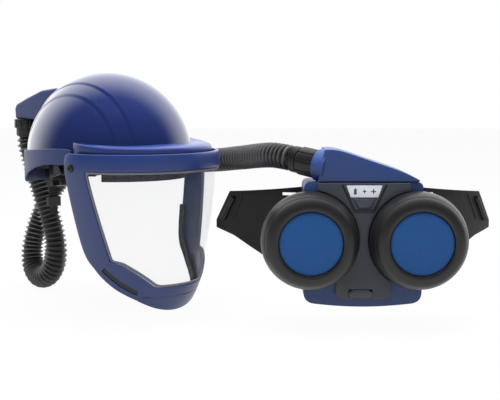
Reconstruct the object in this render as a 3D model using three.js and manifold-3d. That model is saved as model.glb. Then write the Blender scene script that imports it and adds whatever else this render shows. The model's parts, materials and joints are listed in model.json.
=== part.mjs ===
// Powered air respirator: a helmet with a tilting visor, a breathing hose and a belt fan unit with
// two filters. Millimetres, +Z up. The origin is the middle of the wearer's headband, so the
// helmet sits on a head at the origin and the fan unit faces -Y beside it.
import * as THREE from 'three';
import { mergeVertices } from 'three/addons/utils/BufferGeometryUtils.js';
import Module from 'manifold-3d';

const wasm = await Module();
wasm.setup();

// ---------------------------------------------------------------- driving dimensions
const GAP = 0.3; // running gap between pieces that touch
const FACETS = 32; // facets round the helmet and the visor
const VISOR_FACETS = 36;
const ROUND = 24; // facets round a filter or another large disc
const SMALL = 16; // facets round a pin, a knob or a bore

const HELMET_YAW = -40; // degrees, the helmet faces half to the right
const SHELL = { centre: -10, length: 122, half: 104, height: 114, wall: 3 };
const CROWN = { half: 51, rise: 2.5 };
const SHOULDER = { half: 68, rise: 1.2 };
const BAND = { wall: 2.5, front: 30, topFront: 18, topRear: 8, low: -38 };
const BROW = { bottom: 10, rear: 34, fall: 0.14, wall: 3, start: 41, clear: 2 };
const BROW_SEAL = { height: 24, wall: 5, start: 62 };

const PIVOT = { x: 43, z: -5, boss: 9, pin: 3.4, knob: 5.4, head: 2 };
const VISOR = { radius: 113.5, drop: 225, top: 14, bottom: -199, wall: 4, lens: 1.6 };
const VISOR_ROUNDING = 2.5; // exponent of the front outline
const SIDE_TAPER = 0.46; // how much the sides draw in towards the chin
const WINDOW = { top: -8, side: 66, corner: 82, cornerHalf: 80, cornerZ: -127, low: -160, lowHalf: 42 };
const LENS_LAP = 6; // lens edge held behind the frame
const GASKET = 3; // width of the pale lip round the window
const CHIN = { half: 55, top: -173.5 };
const FACE_SEAL = { width: 9, depth: 4 };

const DUCT = { radius: 18, bore: 13.5, endX: -188, endZ: 50 };
const COLLAR = { wall: 2.4, length: 13 };
const HOSE = { outer: 17, cuff: 17.3, bore: 13, cuffLength: 24 };
const collarRadius = HOSE.cuff + GAP + COLLAR.wall;

const HEAD = { centre: -5, length: 98, half: 78, wall: 2.2, height: 28, tilt: -12, crown: 88 };
const STRAP = { width: 20, wall: 1.8 };
const PAD_GAP = 2.8; // the forehead pad hangs on the front strap, clear of the band
const RATCHET = { half: 32, depth: 9, top: 11, bottom: -22, knob: 17, knobDepth: 13 };
const NAPE = { width: 14, wall: 2, top: -18, bottom: -88, buckleZ: -70, buckle: 14 };

const FAN = { x: 332.5, y: -112.5, z: -96 }; // middle of the unit's front face, on the filter axes
const BODY = { half: 76, top: 73.5, bottom: -88, side: -78, depth: 62, split: 30, wall: 3, corner: 9 };
const FILTER = { x: 69, pad: 57, rearPad: 45, flange: 62.5, body: 57.5 };
const SPIGOT = { radius: 30, wall: 3.5, length: 12 };
const FILTER_DEPTH = { flange: 14, front: 34, rim: 45 };
const PREFILTER = { radius: 40, depth: 4, recess: 3 };
const MEDIA_GAP = 0.5;
const HOOD = { left: -58, right: 71, peak: 115, front: -3, back: 58, wall: 3, lead: 8 };
const OUTLET = { x: -67, y: 28.5, z: 96, yaw: 35, rise: 9, socket: 20.5, nutWall: 3, nutLength: 26 };
const nutRadius = HOSE.cuff - 2 + GAP + OUTLET.nutWall;
const FASCIA = { half: 58.5, low: 35, depth: 8, chamfer: 6, margin: 1 };
const DISPLAY = { top: 70, bottom: 54.5, half: 23, lowHalf: 17.5, depth: 2 };
const BUTTON = { top: 52.5, bottom: 41, half: 13.5, lowHalf: 7.5, proud: 1.2, travel: 1 };
const LATCH = { left: -18.5, right: 11.5, top: -64, bottom: -74.5, proud: 1.5, travel: 2 };
const FAN_WHEEL = { x: 0, z: 30, radius: 33, wall: 2.5, front: 7, back: 38, blades: 9 };
const MOTOR = { radius: 17, length: 18, shaft: 2.5 };
const BATTERY = { half: 35.5, top: -22, front: 12.4, back: 51.6 };
const BOARD = { half: 25, top: 66, bottom: 40, thickness: 1.6 };
const HARNESS = { half: 192, flat: 60, wall: 4, bend: 0.004, slices: 24 };
const SCREW = { head: 4, shank: 1.7 };
const BELT_BAR = { radius: 3.5 };
const WING_SLOT = { x: 92, z: 51, half: 9, rise: 2 };

const HOSE_LEAD = 8; // straight length of hose next to each cuff

// The hose's route between its two cuffs, chosen by hand: down the nape, round its hanging loop,
// up behind the first strand, round the back of the helmet and forward to the fan unit.
const HOSE_ROUTE = [
  [-142, 119, 6], [-136, 117, -17], [-129, 115, -41], [-121, 112, -67], [-113, 109, -94],
  [-106, 106, -121], [-104, 107, -147], [-109, 113, -171], [-121, 124, -188], [-137, 142, -192],
  [-149, 158, -180], [-153, 169, -156], [-149, 175, -130], [-140, 180, -102], [-129, 182, -76],
  [-113, 181, -50], [-89, 176, -29], [-60, 167, -17], [-27, 156, -11], [6, 142, -8],
  [42, 126, -8], [79, 107, -9], [112, 86, -10], [143, 61, -7], [166, 38, -3],
  [182, 17, 0], [195, -4, 3], [207, -25, 5.5], [220, -45, 7],
];

// ---------------------------------------------------------------- materials
const finish = (color, roughness, metalness = 0, extra = {}) =>
  new THREE.MeshStandardMaterial({ color, roughness, metalness, ...extra });
const gloss = () => finish(0x1d2a6b, 0.15);
const matte = () => finish(0x27366f, 0.55);
const black = () => finish(0x15161a, 0.5);
const rubber = () => finish(0x101114, 0.8);
const grey = () => finish(0x4a4e58, 0.5);
const steel = () => finish(0xb8bcc2, 0.3, 1);

// ---------------------------------------------------------------- solids
const radians = THREE.MathUtils.degToRad;

function solid(geometry) {
  geometry.deleteAttribute('normal');
  geometry.deleteAttribute('uv');
  const merged = mergeVertices(geometry, 1e-4);
  const index = merged.index.array;
  const triangles = [];
  for (let i = 0; i < index.length; i += 3) {
    const [a, b, c] = [index[i], index[i + 1], index[i + 2]];
    if (a !== b && b !== c && c !== a) triangles.push(a, b, c);
  }
  return new wasm.Manifold(new wasm.Mesh({
    numProp: 3,
    vertProperties: new Float32Array(merged.attributes.position.array),
    triVerts: new Uint32Array(triangles),
  }));
}

function geometryOf(body) {
  const mesh = body.getMesh();
  const geometry = new THREE.BufferGeometry();
  geometry.setAttribute('position', new THREE.BufferAttribute(new Float32Array(mesh.vertProperties), 3));
  geometry.setIndex(new THREE.BufferAttribute(new Uint32Array(mesh.triVerts), 1));
  geometry.computeVertexNormals();
  return geometry;
}

function block(low, high) {
  const size = high.map((value, i) => value - low[i]);
  const middle = high.map((value, i) => (value + low[i]) / 2);
  return solid(new THREE.BoxGeometry(...size).translate(...middle));
}

// A round bar between two points; a second radius makes it a cone.
function rod(radius, from, to, facets = SMALL, endRadius = radius) {
  const start = new THREE.Vector3(...from);
  const way = new THREE.Vector3(...to).sub(start);
  const geometry = new THREE.CylinderGeometry(endRadius, radius, way.length(), facets);
  const turn = new THREE.Quaternion().setFromUnitVectors(new THREE.Vector3(0, 1, 0), way.clone().normalize());
  const middle = start.addScaledVector(way, 0.5);
  return solid(geometry.applyMatrix4(new THREE.Matrix4().compose(middle, turn, new THREE.Vector3(1, 1, 1))));
}

// A bar with a bore right through it.
function pipe(radius, bore, from, to, facets = SMALL) {
  const start = new THREE.Vector3(...from);
  const end = new THREE.Vector3(...to);
  const past = end.clone().sub(start).normalize();
  const before = start.clone().sub(past);
  const beyond = end.clone().add(past);
  return rod(radius, from, to, facets).subtract(rod(bore, before.toArray(), beyond.toArray(), facets));
}

const outlineOf = (points) => new THREE.Shape(points.map(([a, b]) => new THREE.Vector2(a, b)));

// An outline pushed along Y (its points are x, z) or along X (its points are y, z).
function prismY(shape, from, to, curveSegments = 8) {
  const geometry = new THREE.ExtrudeGeometry(shape, { depth: to - from, bevelEnabled: false, curveSegments });
  geometry.applyMatrix4(new THREE.Matrix4().set(1, 0, 0, 0, 0, 0, -1, to, 0, 1, 0, 0, 0, 0, 0, 1));
  return solid(geometry);
}
function prismX(shape, from, to) {
  const geometry = new THREE.ExtrudeGeometry(shape, { depth: to - from, bevelEnabled: false });
  geometry.applyMatrix4(new THREE.Matrix4().set(0, 0, 1, from, 1, 0, 0, 0, 0, 1, 0, 0, 0, 0, 0, 1));
  return solid(geometry);
}

// An upright oval column, and a dome of the same plan.
function oval(centre, length, half, low, high, matrix = null) {
  const geometry = new THREE.CylinderGeometry(1, 1, high - low, FACETS).rotateX(Math.PI / 2);
  geometry.scale(length, half, 1).translate(centre, 0, (low + high) / 2);
  if (matrix) geometry.applyMatrix4(matrix);
  return solid(geometry);
}
const dome = (length, half, height) => solid(new THREE.SphereGeometry(1, FACETS, FACETS / 2)
  .rotateX(Math.PI / 2).scale(length, half, height).translate(SHELL.centre, 0, 0));

// A closed outline of [radius, depth] points turned about a filter's axis, which lies along Y.
function turned(profile, x, facets = ROUND) {
  const closed = [...profile, profile[0]].map(([radius, depth]) => new THREE.Vector2(radius, depth));
  return solid(new THREE.LatheGeometry(closed, facets).translate(x, 0, 0));
}

const part = new THREE.Group();
const helmet = new THREE.Group();
helmet.rotation.z = radians(HELMET_YAW);
const fanUnit = new THREE.Group();
fanUnit.position.set(FAN.x, FAN.y, FAN.z);
part.add(helmet, fanUnit);

function add(group, name, body, material) {
  const mesh = new THREE.Mesh(geometryOf(body), material);
  mesh.name = name;
  group.add(mesh);
}

const SIDES = [['right', -1], ['left', 1]]; // the wearer's right is -Y in the helmet's frame
const FAR = 400; // beyond every piece, for cutting blocks

// ---------------------------------------------------------------- helmet shell and its trim
const above = (z) => block([-FAR, -FAR, z], [FAR, FAR, FAR]);
const slab = (half) => block([-FAR, -half, 0], [FAR, half, FAR]);
const innerDome = (clear = 0) => {
  const wall = SHELL.wall + clear;
  return dome(SHELL.length - wall, SHELL.half - wall, SHELL.height - wall);
};
const crown = (rise, grow = 0) =>
  dome(SHELL.length + rise + grow, SHELL.half + grow, SHELL.height + rise + grow);
const outerDome = (grow = 0) => crown(0, grow)
  .add(crown(CROWN.rise, grow).intersect(slab(CROWN.half + grow)))
  .add(crown(SHOULDER.rise, grow).intersect(slab(SHOULDER.half + grow)));

const portRadius = DUCT.bore + 0.5;
const ductPath = new THREE.CatmullRomCurve3([
  [-88, 62], [-118, 73], [-147, 76], [-170, 72], [DUCT.endX + 3, 62], [DUCT.endX, DUCT.endZ],
].map(([x, z]) => new THREE.Vector3(x, 0, z)));
function ductTube(radius, overrun) {
  const section = new THREE.Shape().absarc(0, 0, radius, 0, Math.PI * 2);
  const points = ductPath.getPoints(10);
  points.unshift(points[0].clone().addScaledVector(ductPath.getTangent(0), -overrun));
  points.push(points.at(-1).clone().addScaledVector(ductPath.getTangent(1), overrun));
  const path = new THREE.CatmullRomCurve3(points);
  return solid(new THREE.ExtrudeGeometry(section, {
    steps: 12, curveSegments: SMALL / 2, extrudePath: path, bevelEnabled: false,
  }));
}

const pivotHole = (radius, side) =>
  rod(radius, [PIVOT.x, side * 60, PIVOT.z], [PIVOT.x, side * 140, PIVOT.z]);

function addShell() {
  let shell = outerDome().subtract(innerDome()).intersect(above(0));
  shell = shell.subtract(rod(portRadius, [-80, 0, 58], [-140, 0, 80]));
  for (const [, side] of SIDES) shell = shell.subtract(pivotHole(PIVOT.boss + GAP, side));
  add(helmet, 'helmet_shell', shell, gloss());

  const trimLength = SHELL.length + CROWN.rise + GAP;
  const trimHalf = SHELL.half + GAP;
  const column = (grow, past) =>
    oval(SHELL.centre, trimLength + grow, trimHalf + grow, BAND.low - past, BAND.topFront + past);
  const ring = column(BAND.wall, 4).subtract(column(0, 8));
  const back = -SHELL.length - 30;
  const bandSide = outlineOf([
    [BAND.front, BAND.topFront], [BAND.front - 30, BAND.topFront], [-70, BAND.topRear + 5],
    [back, BAND.topRear], [back, BAND.low], [-104, BAND.low + 3], [-60, -14], [-20, -4], [BAND.front, -2],
  ]);
  add(helmet, 'rear_band', ring.intersect(prismY(bandSide, -FAR, FAR)), matte());

  const duct = ductTube(DUCT.radius, 3).subtract(ductTube(DUCT.bore, 5)).subtract(outerDome(GAP));
  add(helmet, 'rear_air_duct', duct.intersect(block([-FAR, -FAR, DUCT.endZ], [-60, FAR, FAR])), matte());
}

// ---------------------------------------------------------------- visor outline
const frontAt = (z) => {
  const t = (PIVOT.z - z) / VISOR.drop;
  return VISOR.radius * Math.pow(1 - Math.pow(t, VISOR_ROUNDING), 1 / VISOR_ROUNDING);
};
const halfAt = (z) => {
  const t = (PIVOT.z - z) / VISOR.drop;
  const taper = SIDE_TAPER * t * t / (t + 0.12);
  return VISOR.radius * (1 - taper) * Math.pow(1 - Math.pow(t, 6), 1 / 6);
};
// The visor's outer surface is part of a ball about the pivot above the pivot's height, and draws
// in towards the chin below it. An inset gives the parallel surfaces inside it.
function visorBody(inset) {
  const geometry = new THREE.CylinderGeometry(1, 1, 1, VISOR_FACETS, 11).rotateX(Math.PI / 2);
  const spots = geometry.attributes.position;
  for (let i = 0; i < spots.count; i += 1) {
    const z = VISOR.bottom + (spots.getZ(i) + 0.5) * (VISOR.top - VISOR.bottom);
    const ball = Math.sqrt(VISOR.radius ** 2 - (z - PIVOT.z) ** 2);
    const front = (z > PIVOT.z ? ball : frontAt(z)) - inset;
    const half = (z > PIVOT.z ? ball : halfAt(z)) - inset;
    spots.setXYZ(i, PIVOT.x + spots.getX(i) * front, spots.getY(i) * half, z);
  }
  return solid(geometry);
}
function wallBetween(outer, inner) {
  const [front, half] = [frontAt(VISOR.bottom) - inner, halfAt(VISOR.bottom) - inner];
  const below = oval(PIVOT.x, front, half, VISOR.bottom - 2, VISOR.bottom + 0.01);
  return visorBody(outer).subtract(visorBody(inner).add(below));
}

// The window seen from the side, cut with the window seen from the front.
function windowOpening(grow) {
  const side = outlineOf([
    [WINDOW.side - grow, WINDOW.top + grow], [FAR, WINDOW.top + grow], [FAR, WINDOW.low - grow],
    [WINDOW.corner + 12 - grow, WINDOW.low - grow], [WINDOW.corner - grow, WINDOW.cornerZ],
  ]);
  const corners = [
    [VISOR.radius + 20, WINDOW.top + grow], [VISOR.radius + 20, WINDOW.cornerZ + 20 - grow],
    [WINDOW.cornerHalf + grow, WINDOW.cornerZ - grow / 2], [WINDOW.lowHalf + 0.6 * grow, WINDOW.low - grow],
  ];
  const mirrored = corners.map(([y, z]) => [-y, z]).reverse();
  return prismY(side, -FAR, FAR).intersect(prismX(outlineOf([...corners, ...mirrored]), 0, FAR));
}

// The frame's lower edge from the arm to the chin, as seen from the side.
const LOWER_EDGE = [[30, -12], [39, -108], [55, -138], [76, -160], [102, -179], [118, -197]];
function frameRegion(inset = 0) {
  const shape = new THREE.Shape();
  shape.moveTo(37, VISOR.top - 0.5);
  shape.quadraticCurveTo(29, VISOR.top - 0.5, 29, 4);
  shape.lineTo(LOWER_EDGE[0][0] + inset, LOWER_EDGE[0][1]);
  shape.splineThru(LOWER_EDGE.slice(1).map(([x, z]) => new THREE.Vector2(x + 0.7 * inset, z + 0.7 * inset)));
  shape.lineTo(FAR, LOWER_EDGE.at(-1)[1] + 0.7 * inset);
  shape.lineTo(FAR, VISOR.top - 0.5);
  return prismY(shape, -FAR, FAR, 4);
}

// Slots for breathed-out air, low on each side of the frame.
const VENT = [[66, -139], [86, -158], [103, -170], [106, -164], [90, -151], [72, -134]];
function ventOpening(side, shrink = 0) {
  const middle = VENT.reduce(([x, z], [a, b]) => [x + a / VENT.length, z + b / VENT.length], [0, 0]);
  const points = VENT.map(([x, z]) => {
    const reach = Math.hypot(x - middle[0], z - middle[1]);
    const scale = 1 - 2 * shrink / reach;
    return [middle[0] + (x - middle[0]) * scale, middle[1] + (z - middle[1]) * scale];
  });
  return prismY(outlineOf(points), side > 0 ? 40 : -FAR, side > 0 ? FAR : -40);
}

function addVisor() {
  const region = frameRegion();
  const wall = wallBetween(0, VISOR.wall).intersect(region);
  const chinBox = (clear) => block([0, -CHIN.half - clear, -FAR], [FAR, CHIN.half + clear, CHIN.top + clear]);
  let frame = wall.subtract(windowOpening(0)).subtract(chinBox(GAP));
  for (const [, side] of SIDES) {
    frame = frame.subtract(pivotHole(PIVOT.pin + GAP, side)).subtract(ventOpening(side));
  }
  add(helmet, 'visor_frame', frame, gloss());
  add(helmet, 'chin_cover', wall.intersect(chinBox(0)).subtract(windowOpening(LENS_LAP / 2)), gloss());

  const lensIn = VISOR.wall + GAP;
  const lens = wallBetween(lensIn, lensIn + VISOR.lens).intersect(windowOpening(LENS_LAP)).intersect(region);
  add(helmet, 'visor_lens', lens, finish(0xdfe6ee, 0.05, 0, { transparent: true, opacity: 0.25 }));

  const lip = wallBetween(0.6, VISOR.wall)
    .intersect(windowOpening(-GAP)).subtract(windowOpening(-GAP - GASKET));
  add(helmet, 'lens_gasket', lip, finish(0xb9bdc0, 0.6));

  const sealIn = VISOR.wall + GAP;
  const seal = wallBetween(sealIn, sealIn + FACE_SEAL.depth).intersect(region)
    .subtract(frameRegion(FACE_SEAL.width)).intersect(block([0, -FAR, -FAR], [FAR, FAR, -70]));
  add(helmet, 'face_seal', seal.subtract(windowOpening(LENS_LAP + 2 * GAP)), rubber());

  for (const [name, side] of SIDES) {
    const cover = wallBetween(1, VISOR.wall - GAP).intersect(ventOpening(side, GAP));
    add(helmet, `exhale_cover_${name}`, cover, black());
  }
}

// ---------------------------------------------------------------- brow plate and pivots
function addBrow() {
  const reach = VISOR.radius - VISOR.wall - VISOR.lens - BROW.clear; // inside the lens when it swings
  const ball = (radius) => solid(new THREE.SphereGeometry(radius, FACETS + 8, FACETS / 2 + 4)
    .rotateZ(Math.PI / 2).translate(PIVOT.x, 0, PIVOT.z));
  const under = (drop) => prismY(outlineOf([
    [BROW.start - 10, -20], [FAR, -20], [FAR, BROW.rear - BROW.fall * (FAR - BROW.start) - drop],
    [BROW.start - 10, BROW.rear + BROW.fall * 10 - drop],
  ]), -FAR, FAR);
  const from = (x) => block([x, -FAR, -FAR], [FAR, FAR, FAR]);
  const skin = ball(reach).intersect(under(0)).intersect(above(BROW.bottom)).intersect(from(BROW.start));
  const hollow = ball(reach - BROW.wall).intersect(under(BROW.wall)).intersect(from(BROW.start + BROW.wall));
  add(helmet, 'brow_plate', skin.subtract(hollow).subtract(outerDome(GAP)), gloss());

  const inset = SHELL.wall + 1;
  const core = inset + BROW_SEAL.wall;
  const strip = oval(SHELL.centre, SHELL.length - inset, SHELL.half - inset, -BROW_SEAL.height, 8)
    .subtract(oval(SHELL.centre, SHELL.length - core, SHELL.half - core, -40, 20));
  add(helmet, 'brow_seal', strip.intersect(from(BROW_SEAL.start)), rubber());
}

function addPivots() {
  const armInside = (VISOR.radius - VISOR.wall) * Math.cos(Math.PI / VISOR_FACETS);
  const seatAt = Math.sqrt(armInside ** 2 - PIVOT.boss ** 2) - 2 * GAP; // face of the boss
  const inset = SHELL.wall + 1 + GAP;
  const plate = oval(SHELL.centre, SHELL.length - inset, SHELL.half - inset, -17, 11)
    .subtract(oval(SHELL.centre, SHELL.length - inset - 3, SHELL.half - inset - 3, -20, 20));
  for (const [name, side] of SIDES) {
    const sideBox = side > 0 ? block([-8, 60, -17], [54, 110, 11]) : block([-8, -110, -17], [54, -60, 11]);
    const body = plate.intersect(sideBox)
      .add(rod(PIVOT.boss, [PIVOT.x, side * 87, PIVOT.z], [PIVOT.x, side * seatAt, PIVOT.z]))
      .add(rod(6, [4, side * 98, -10.5], [4, side * 103.5, -10.5]))
      .subtract(rod(PIVOT.pin + GAP, [PIVOT.x, side * 92, PIVOT.z], [PIVOT.x, side * 120, PIVOT.z]));
    add(helmet, `pivot_bracket_${name}`, body, black());
    const cap = VISOR.radius + GAP;
    const spot = (reach) => [PIVOT.x, side * reach, PIVOT.z];
    const knob = rod(PIVOT.knob, spot(cap), spot(cap + PIVOT.head)).add(rod(PIVOT.pin, spot(93), spot(cap + 1)));
    add(helmet, `pivot_knob_${name}`, knob, black());
  }
}

// ---------------------------------------------------------------- head harness inside the shell
const tilted = new THREE.Matrix4().makeRotationY(radians(HEAD.tilt));

function addSuspension() {
  const suspension = new THREE.Group();
  suspension.rotation.y = radians(HEAD.tilt);
  helmet.add(suspension);
  const half = HEAD.height / 2;
  const band = oval(HEAD.centre, HEAD.length, HEAD.half, -half, half)
    .subtract(oval(HEAD.centre, HEAD.length - HEAD.wall, HEAD.half - HEAD.wall, -half - 1, half + 1));
  add(suspension, 'headband', band, black());

  // Two straps cross over the head, the second one just under the first.
  const arch = (reach, top, lift) => {
    const ring = (grow) => new THREE.SphereGeometry(1, ROUND, ROUND / 2).rotateX(Math.PI / 2)
      .scale(reach[0] + grow, reach[1] + grow, top + grow).translate(HEAD.centre, 0, 0);
    return solid(ring(0)).subtract(solid(ring(-STRAP.wall))).intersect(above(lift));
  };
  const inside = HEAD.wall + GAP;
  const over = arch([HEAD.length - inside, HEAD.half - inside], HEAD.crown, -8);
  const below = arch([HEAD.length - inside, HEAD.half - inside], HEAD.crown - STRAP.wall - GAP, -8);
  const side = STRAP.width / 2;
  const lengthwise = over.intersect(block([-FAR, -side, -FAR], [FAR, side, FAR]));
  const across = block([HEAD.centre - side, -FAR, -FAR], [HEAD.centre + side, FAR, FAR]);
  add(suspension, 'crown_strap_long', lengthwise, rubber());
  add(suspension, 'crown_strap_cross', below.intersect(across).subtract(lengthwise), rubber());

  const padIn = HEAD.wall + STRAP.wall + PAD_GAP;
  const pad = oval(HEAD.centre, HEAD.length - padIn, HEAD.half - padIn, -half + 2, half - 2)
    .subtract(oval(HEAD.centre, HEAD.length - padIn - 4, HEAD.half - padIn - 4, -half, half))
    .intersect(block([45, -FAR, -FAR], [FAR, FAR, FAR]));
  add(suspension, 'brow_pad', pad, rubber());

  const rear = HEAD.centre - HEAD.length - GAP;
  const { half: wide, bottom, top } = RATCHET;
  const housing = block([rear - RATCHET.depth, -wide, bottom], [rear + 4, wide, top])
    .subtract(oval(HEAD.centre, HEAD.length + GAP, HEAD.half + GAP, -FAR, FAR));
  const middle = (top + bottom) / 2;
  const face = rear - RATCHET.depth - GAP;
  const boreEnd = [rear - 2, 0, middle];
  add(suspension, 'ratchet_housing', housing.subtract(rod(4 + GAP, [face - 1, 0, middle], boreEnd)), black());
  const knob = rod(RATCHET.knob, [face, 0, middle], [face - RATCHET.knobDepth, 0, middle], 20)
    .add(rod(4, [face - 1, 0, middle], [rear - 2 - GAP, 0, middle]));
  add(suspension, 'ratchet_knob', knob, black());

  // Hangers between the shell and the headband.
  const hold = innerDome(GAP);
  const bandSpace = oval(HEAD.centre, HEAD.length + GAP, HEAD.half + GAP, -60, 60, tilted);
  const corners = [['front', 40, 9, 19], ['rear', 140, -14, 10]].flatMap(([end, degrees, low, high]) =>
    SIDES.map(([name, side]) => [`${end}_${name}`, side * degrees, low, high]));
  for (const [name, degrees, low, high] of corners) {
    const hanger = new THREE.BoxGeometry(60, 14, high - low);
    hanger.translate(90, 0, (low + high) / 2).rotateZ(radians(degrees));
    add(helmet, `headband_clip_${name}`, solid(hanger).intersect(hold).subtract(bandSpace), black());
  }
}

function addNapeStrap() {
  const wallAt = SHELL.centre - SHELL.length - CROWN.rise - GAP;
  const front = wallAt + 4 * GAP;
  const half = NAPE.width / 2;
  const strap = (grow) => block([front - grow, -half - grow, NAPE.bottom - grow],
    [front + NAPE.wall + grow, half + grow, NAPE.top + grow]);
  add(helmet, 'nape_strap', strap(0), rubber());
  const low = NAPE.buckleZ - NAPE.buckle / 2;
  const buckle = block([front - 2.2, -half - 4, low], [front + NAPE.wall + 2.2, half + 4, low + NAPE.buckle]);
  add(helmet, 'nape_buckle', buckle.subtract(strap(GAP)), black());
}

// ---------------------------------------------------------------- hose and its two ends
const outletWay = new THREE.Vector3(
  -Math.cos(radians(OUTLET.rise)) * Math.cos(radians(OUTLET.yaw)),
  Math.cos(radians(OUTLET.rise)) * Math.sin(radians(OUTLET.yaw)),
  Math.sin(radians(OUTLET.rise)),
);
const outletSpot = (distance) =>
  new THREE.Vector3(OUTLET.x, OUTLET.y, OUTLET.z).addScaledVector(outletWay, distance);

function addHose() {
  const low = (distance) => [DUCT.endX, 0, DUCT.endZ - GAP - distance];
  const cuffEnd = HOSE.cuffLength;
  add(helmet, 'hose_collar', pipe(collarRadius, HOSE.cuff + GAP, low(0), low(COLLAR.length), 20), black());
  add(helmet, 'hose_cuff_helmet', pipe(HOSE.cuff, HOSE.bore, low(0), low(cuffEnd), 20), rubber());

  const end = OUTLET.nutLength / 2;
  const cuffBack = end + 12;
  const spot = (distance) => outletSpot(distance).toArray();
  add(fanUnit, 'hose_coupling', pipe(nutRadius, HOSE.cuff - 2 + GAP, spot(-end), spot(end), 20), black());
  const cuff = pipe(HOSE.cuff - 2, HOSE.bore, spot(2 - end), spot(end + 1), 20)
    .add(pipe(HOSE.cuff, HOSE.bore, spot(end + GAP), spot(cuffBack), 20));
  add(fanUnit, 'hose_cuff_unit', cuff, rubber());
  add(fanUnit, 'outlet_seal', pipe(HOSE.cuff - 2, HOSE.bore, spot(-end), spot(2 - end - GAP), 20), rubber());

  const yaw = radians(HELMET_YAW);
  const portEnd = DUCT.endZ - 2 * GAP - cuffEnd;
  const port = new THREE.Vector3(DUCT.endX * Math.cos(yaw), DUCT.endX * Math.sin(yaw), portEnd);
  const portLead = port.clone().add(new THREE.Vector3(0, 0, -HOSE_LEAD));
  const unitEnd = outletSpot(cuffBack + GAP).add(fanUnit.position);
  const unitLead = unitEnd.clone().addScaledVector(outletWay, HOSE_LEAD);
  const hanging = HOSE_ROUTE.map((place) => new THREE.Vector3(...place));
  const route = new THREE.CatmullRomCurve3(
    [port, portLead, ...hanging, unitLead, unitEnd], false, 'centripetal');
  const section = new THREE.Shape().absarc(0, 0, HOSE.outer, 0, Math.PI * 2);
  const tube = new THREE.ExtrudeGeometry(section, {
    steps: 62, curveSegments: 4, extrudePath: route, bevelEnabled: false,
  });
  add(part, 'breathing_hose', solid(tube), rubber());
}

// ---------------------------------------------------------------- fan unit housing
function bodyOutline(inset) {
  const [half, top, side] = [BODY.half - inset, BODY.top - inset, BODY.side + inset];
  const bottom = BODY.bottom + inset;
  const corner = BODY.corner - inset;
  const shape = new THREE.Shape();
  shape.moveTo(-half, top - corner);
  shape.lineTo(-half, side + corner);
  shape.quadraticCurveTo(-half, side - 4, -half + corner + 4, side - 6);
  shape.quadraticCurveTo(-30, bottom, 0, bottom);
  shape.quadraticCurveTo(30, bottom, half - corner - 4, side - 6);
  shape.quadraticCurveTo(half, side - 4, half, side + corner);
  shape.lineTo(half, top - corner);
  shape.quadraticCurveTo(half, top, half - corner, top);
  shape.lineTo(-half + corner, top);
  shape.quadraticCurveTo(-half, top, -half, top - corner);
  return shape;
}
// The body and the two round seats that the filters screw against.
function bodySolid(inset, front, back, seat) {
  let body = prismY(bodyOutline(inset), front, back, 5);
  for (const side of [-1, 1]) {
    const spot = (y) => [side * FILTER.x, y, 0];
    body = body.add(rod(seat - inset, spot(front), spot(back), ROUND));
  }
  return body;
}
const screwSpots = [[-52, 48], [52, 48]];
const batterySlot = () => block([-BATTERY.half - GAP, BATTERY.front - GAP, -FAR],
  [BATTERY.half + GAP, BATTERY.back + GAP, BODY.bottom + 14]);

function addHousing() {
  let front = bodySolid(0, 0, BODY.split - GAP / 2, FILTER.pad);
  front = front.subtract(bodySolid(BODY.wall, BODY.wall, BODY.split + 1, FILTER.rearPad))
    .subtract(batterySlot());
  const inner = SPIGOT.radius - SPIGOT.wall;
  for (const side of [-1, 1]) {
    const x = side * FILTER.x;
    front = front.add(rod(SPIGOT.radius, [x, -SPIGOT.length, 0], [x, 1, 0], ROUND));
    front = front.subtract(rod(inner, [x, -SPIGOT.length - 1, 0], [x, BODY.wall + 1, 0], ROUND));
  }
  const airHole = rod(12, [-26, 22, BODY.top - 10], [-26, 22, BODY.top + 10]);
  const frontHalf = block([-FAR, -FAR, 0], [FAR, BODY.split, FAR]);
  add(fanUnit, 'front_housing', front.subtract(airHole.intersect(frontHalf)), matte());

  let rear = bodySolid(0, BODY.split + GAP / 2, BODY.depth, FILTER.rearPad);
  rear = rear.subtract(bodySolid(BODY.wall, BODY.split - 1, BODY.depth - BODY.wall, FILTER.rearPad))
    .subtract(batterySlot());
  for (const [x, z] of screwSpots) {
    rear = rear.subtract(rod(SCREW.shank + GAP, [x, BODY.depth - 6, z], [x, BODY.depth + 1, z], 10));
  }
  add(fanUnit, 'rear_housing', rear.subtract(airHole), matte());
}

// The hood carries the outlet socket on its steep left end.
function hoodLine(inset) {
  const floor = BODY.top + GAP - (inset ? 2 : 0);
  const crest = [
    [HOOD.left + HOOD.lead + inset, 0], [-29, 2], [12, 15.5], [48, 28], [HOOD.right - inset, 39],
  ];
  return outlineOf([
    [HOOD.left + inset, floor], ...crest.map(([x, fall]) => [x, HOOD.peak - fall - inset]),
    [HOOD.right - inset, floor],
  ]);
}
function addHood() {
  const face = -OUTLET.nutLength / 2 - GAP;
  const socketBack = outletSpot(face - 20).toArray();
  const shell = prismY(hoodLine(0), HOOD.front, HOOD.back).subtract(
    prismY(hoodLine(HOOD.wall), HOOD.front + HOOD.wall, HOOD.back - HOOD.wall));
  const socket = rod(OUTLET.socket, socketBack, outletSpot(face).toArray(), 20)
    .intersect(block([-FAR, HOOD.front, BODY.top + GAP], [FAR, HOOD.back, FAR]));
  const bore = rod(HOSE.bore, outletSpot(face - 30).toArray(), outletSpot(face + 1).toArray());
  const clear = rod(nutRadius + 4, outletSpot(face).toArray(), outletSpot(face + 60).toArray(), 20);
  add(fanUnit, 'outlet_hood', shell.subtract(clear).add(socket).subtract(bore), matte());
}

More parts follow.
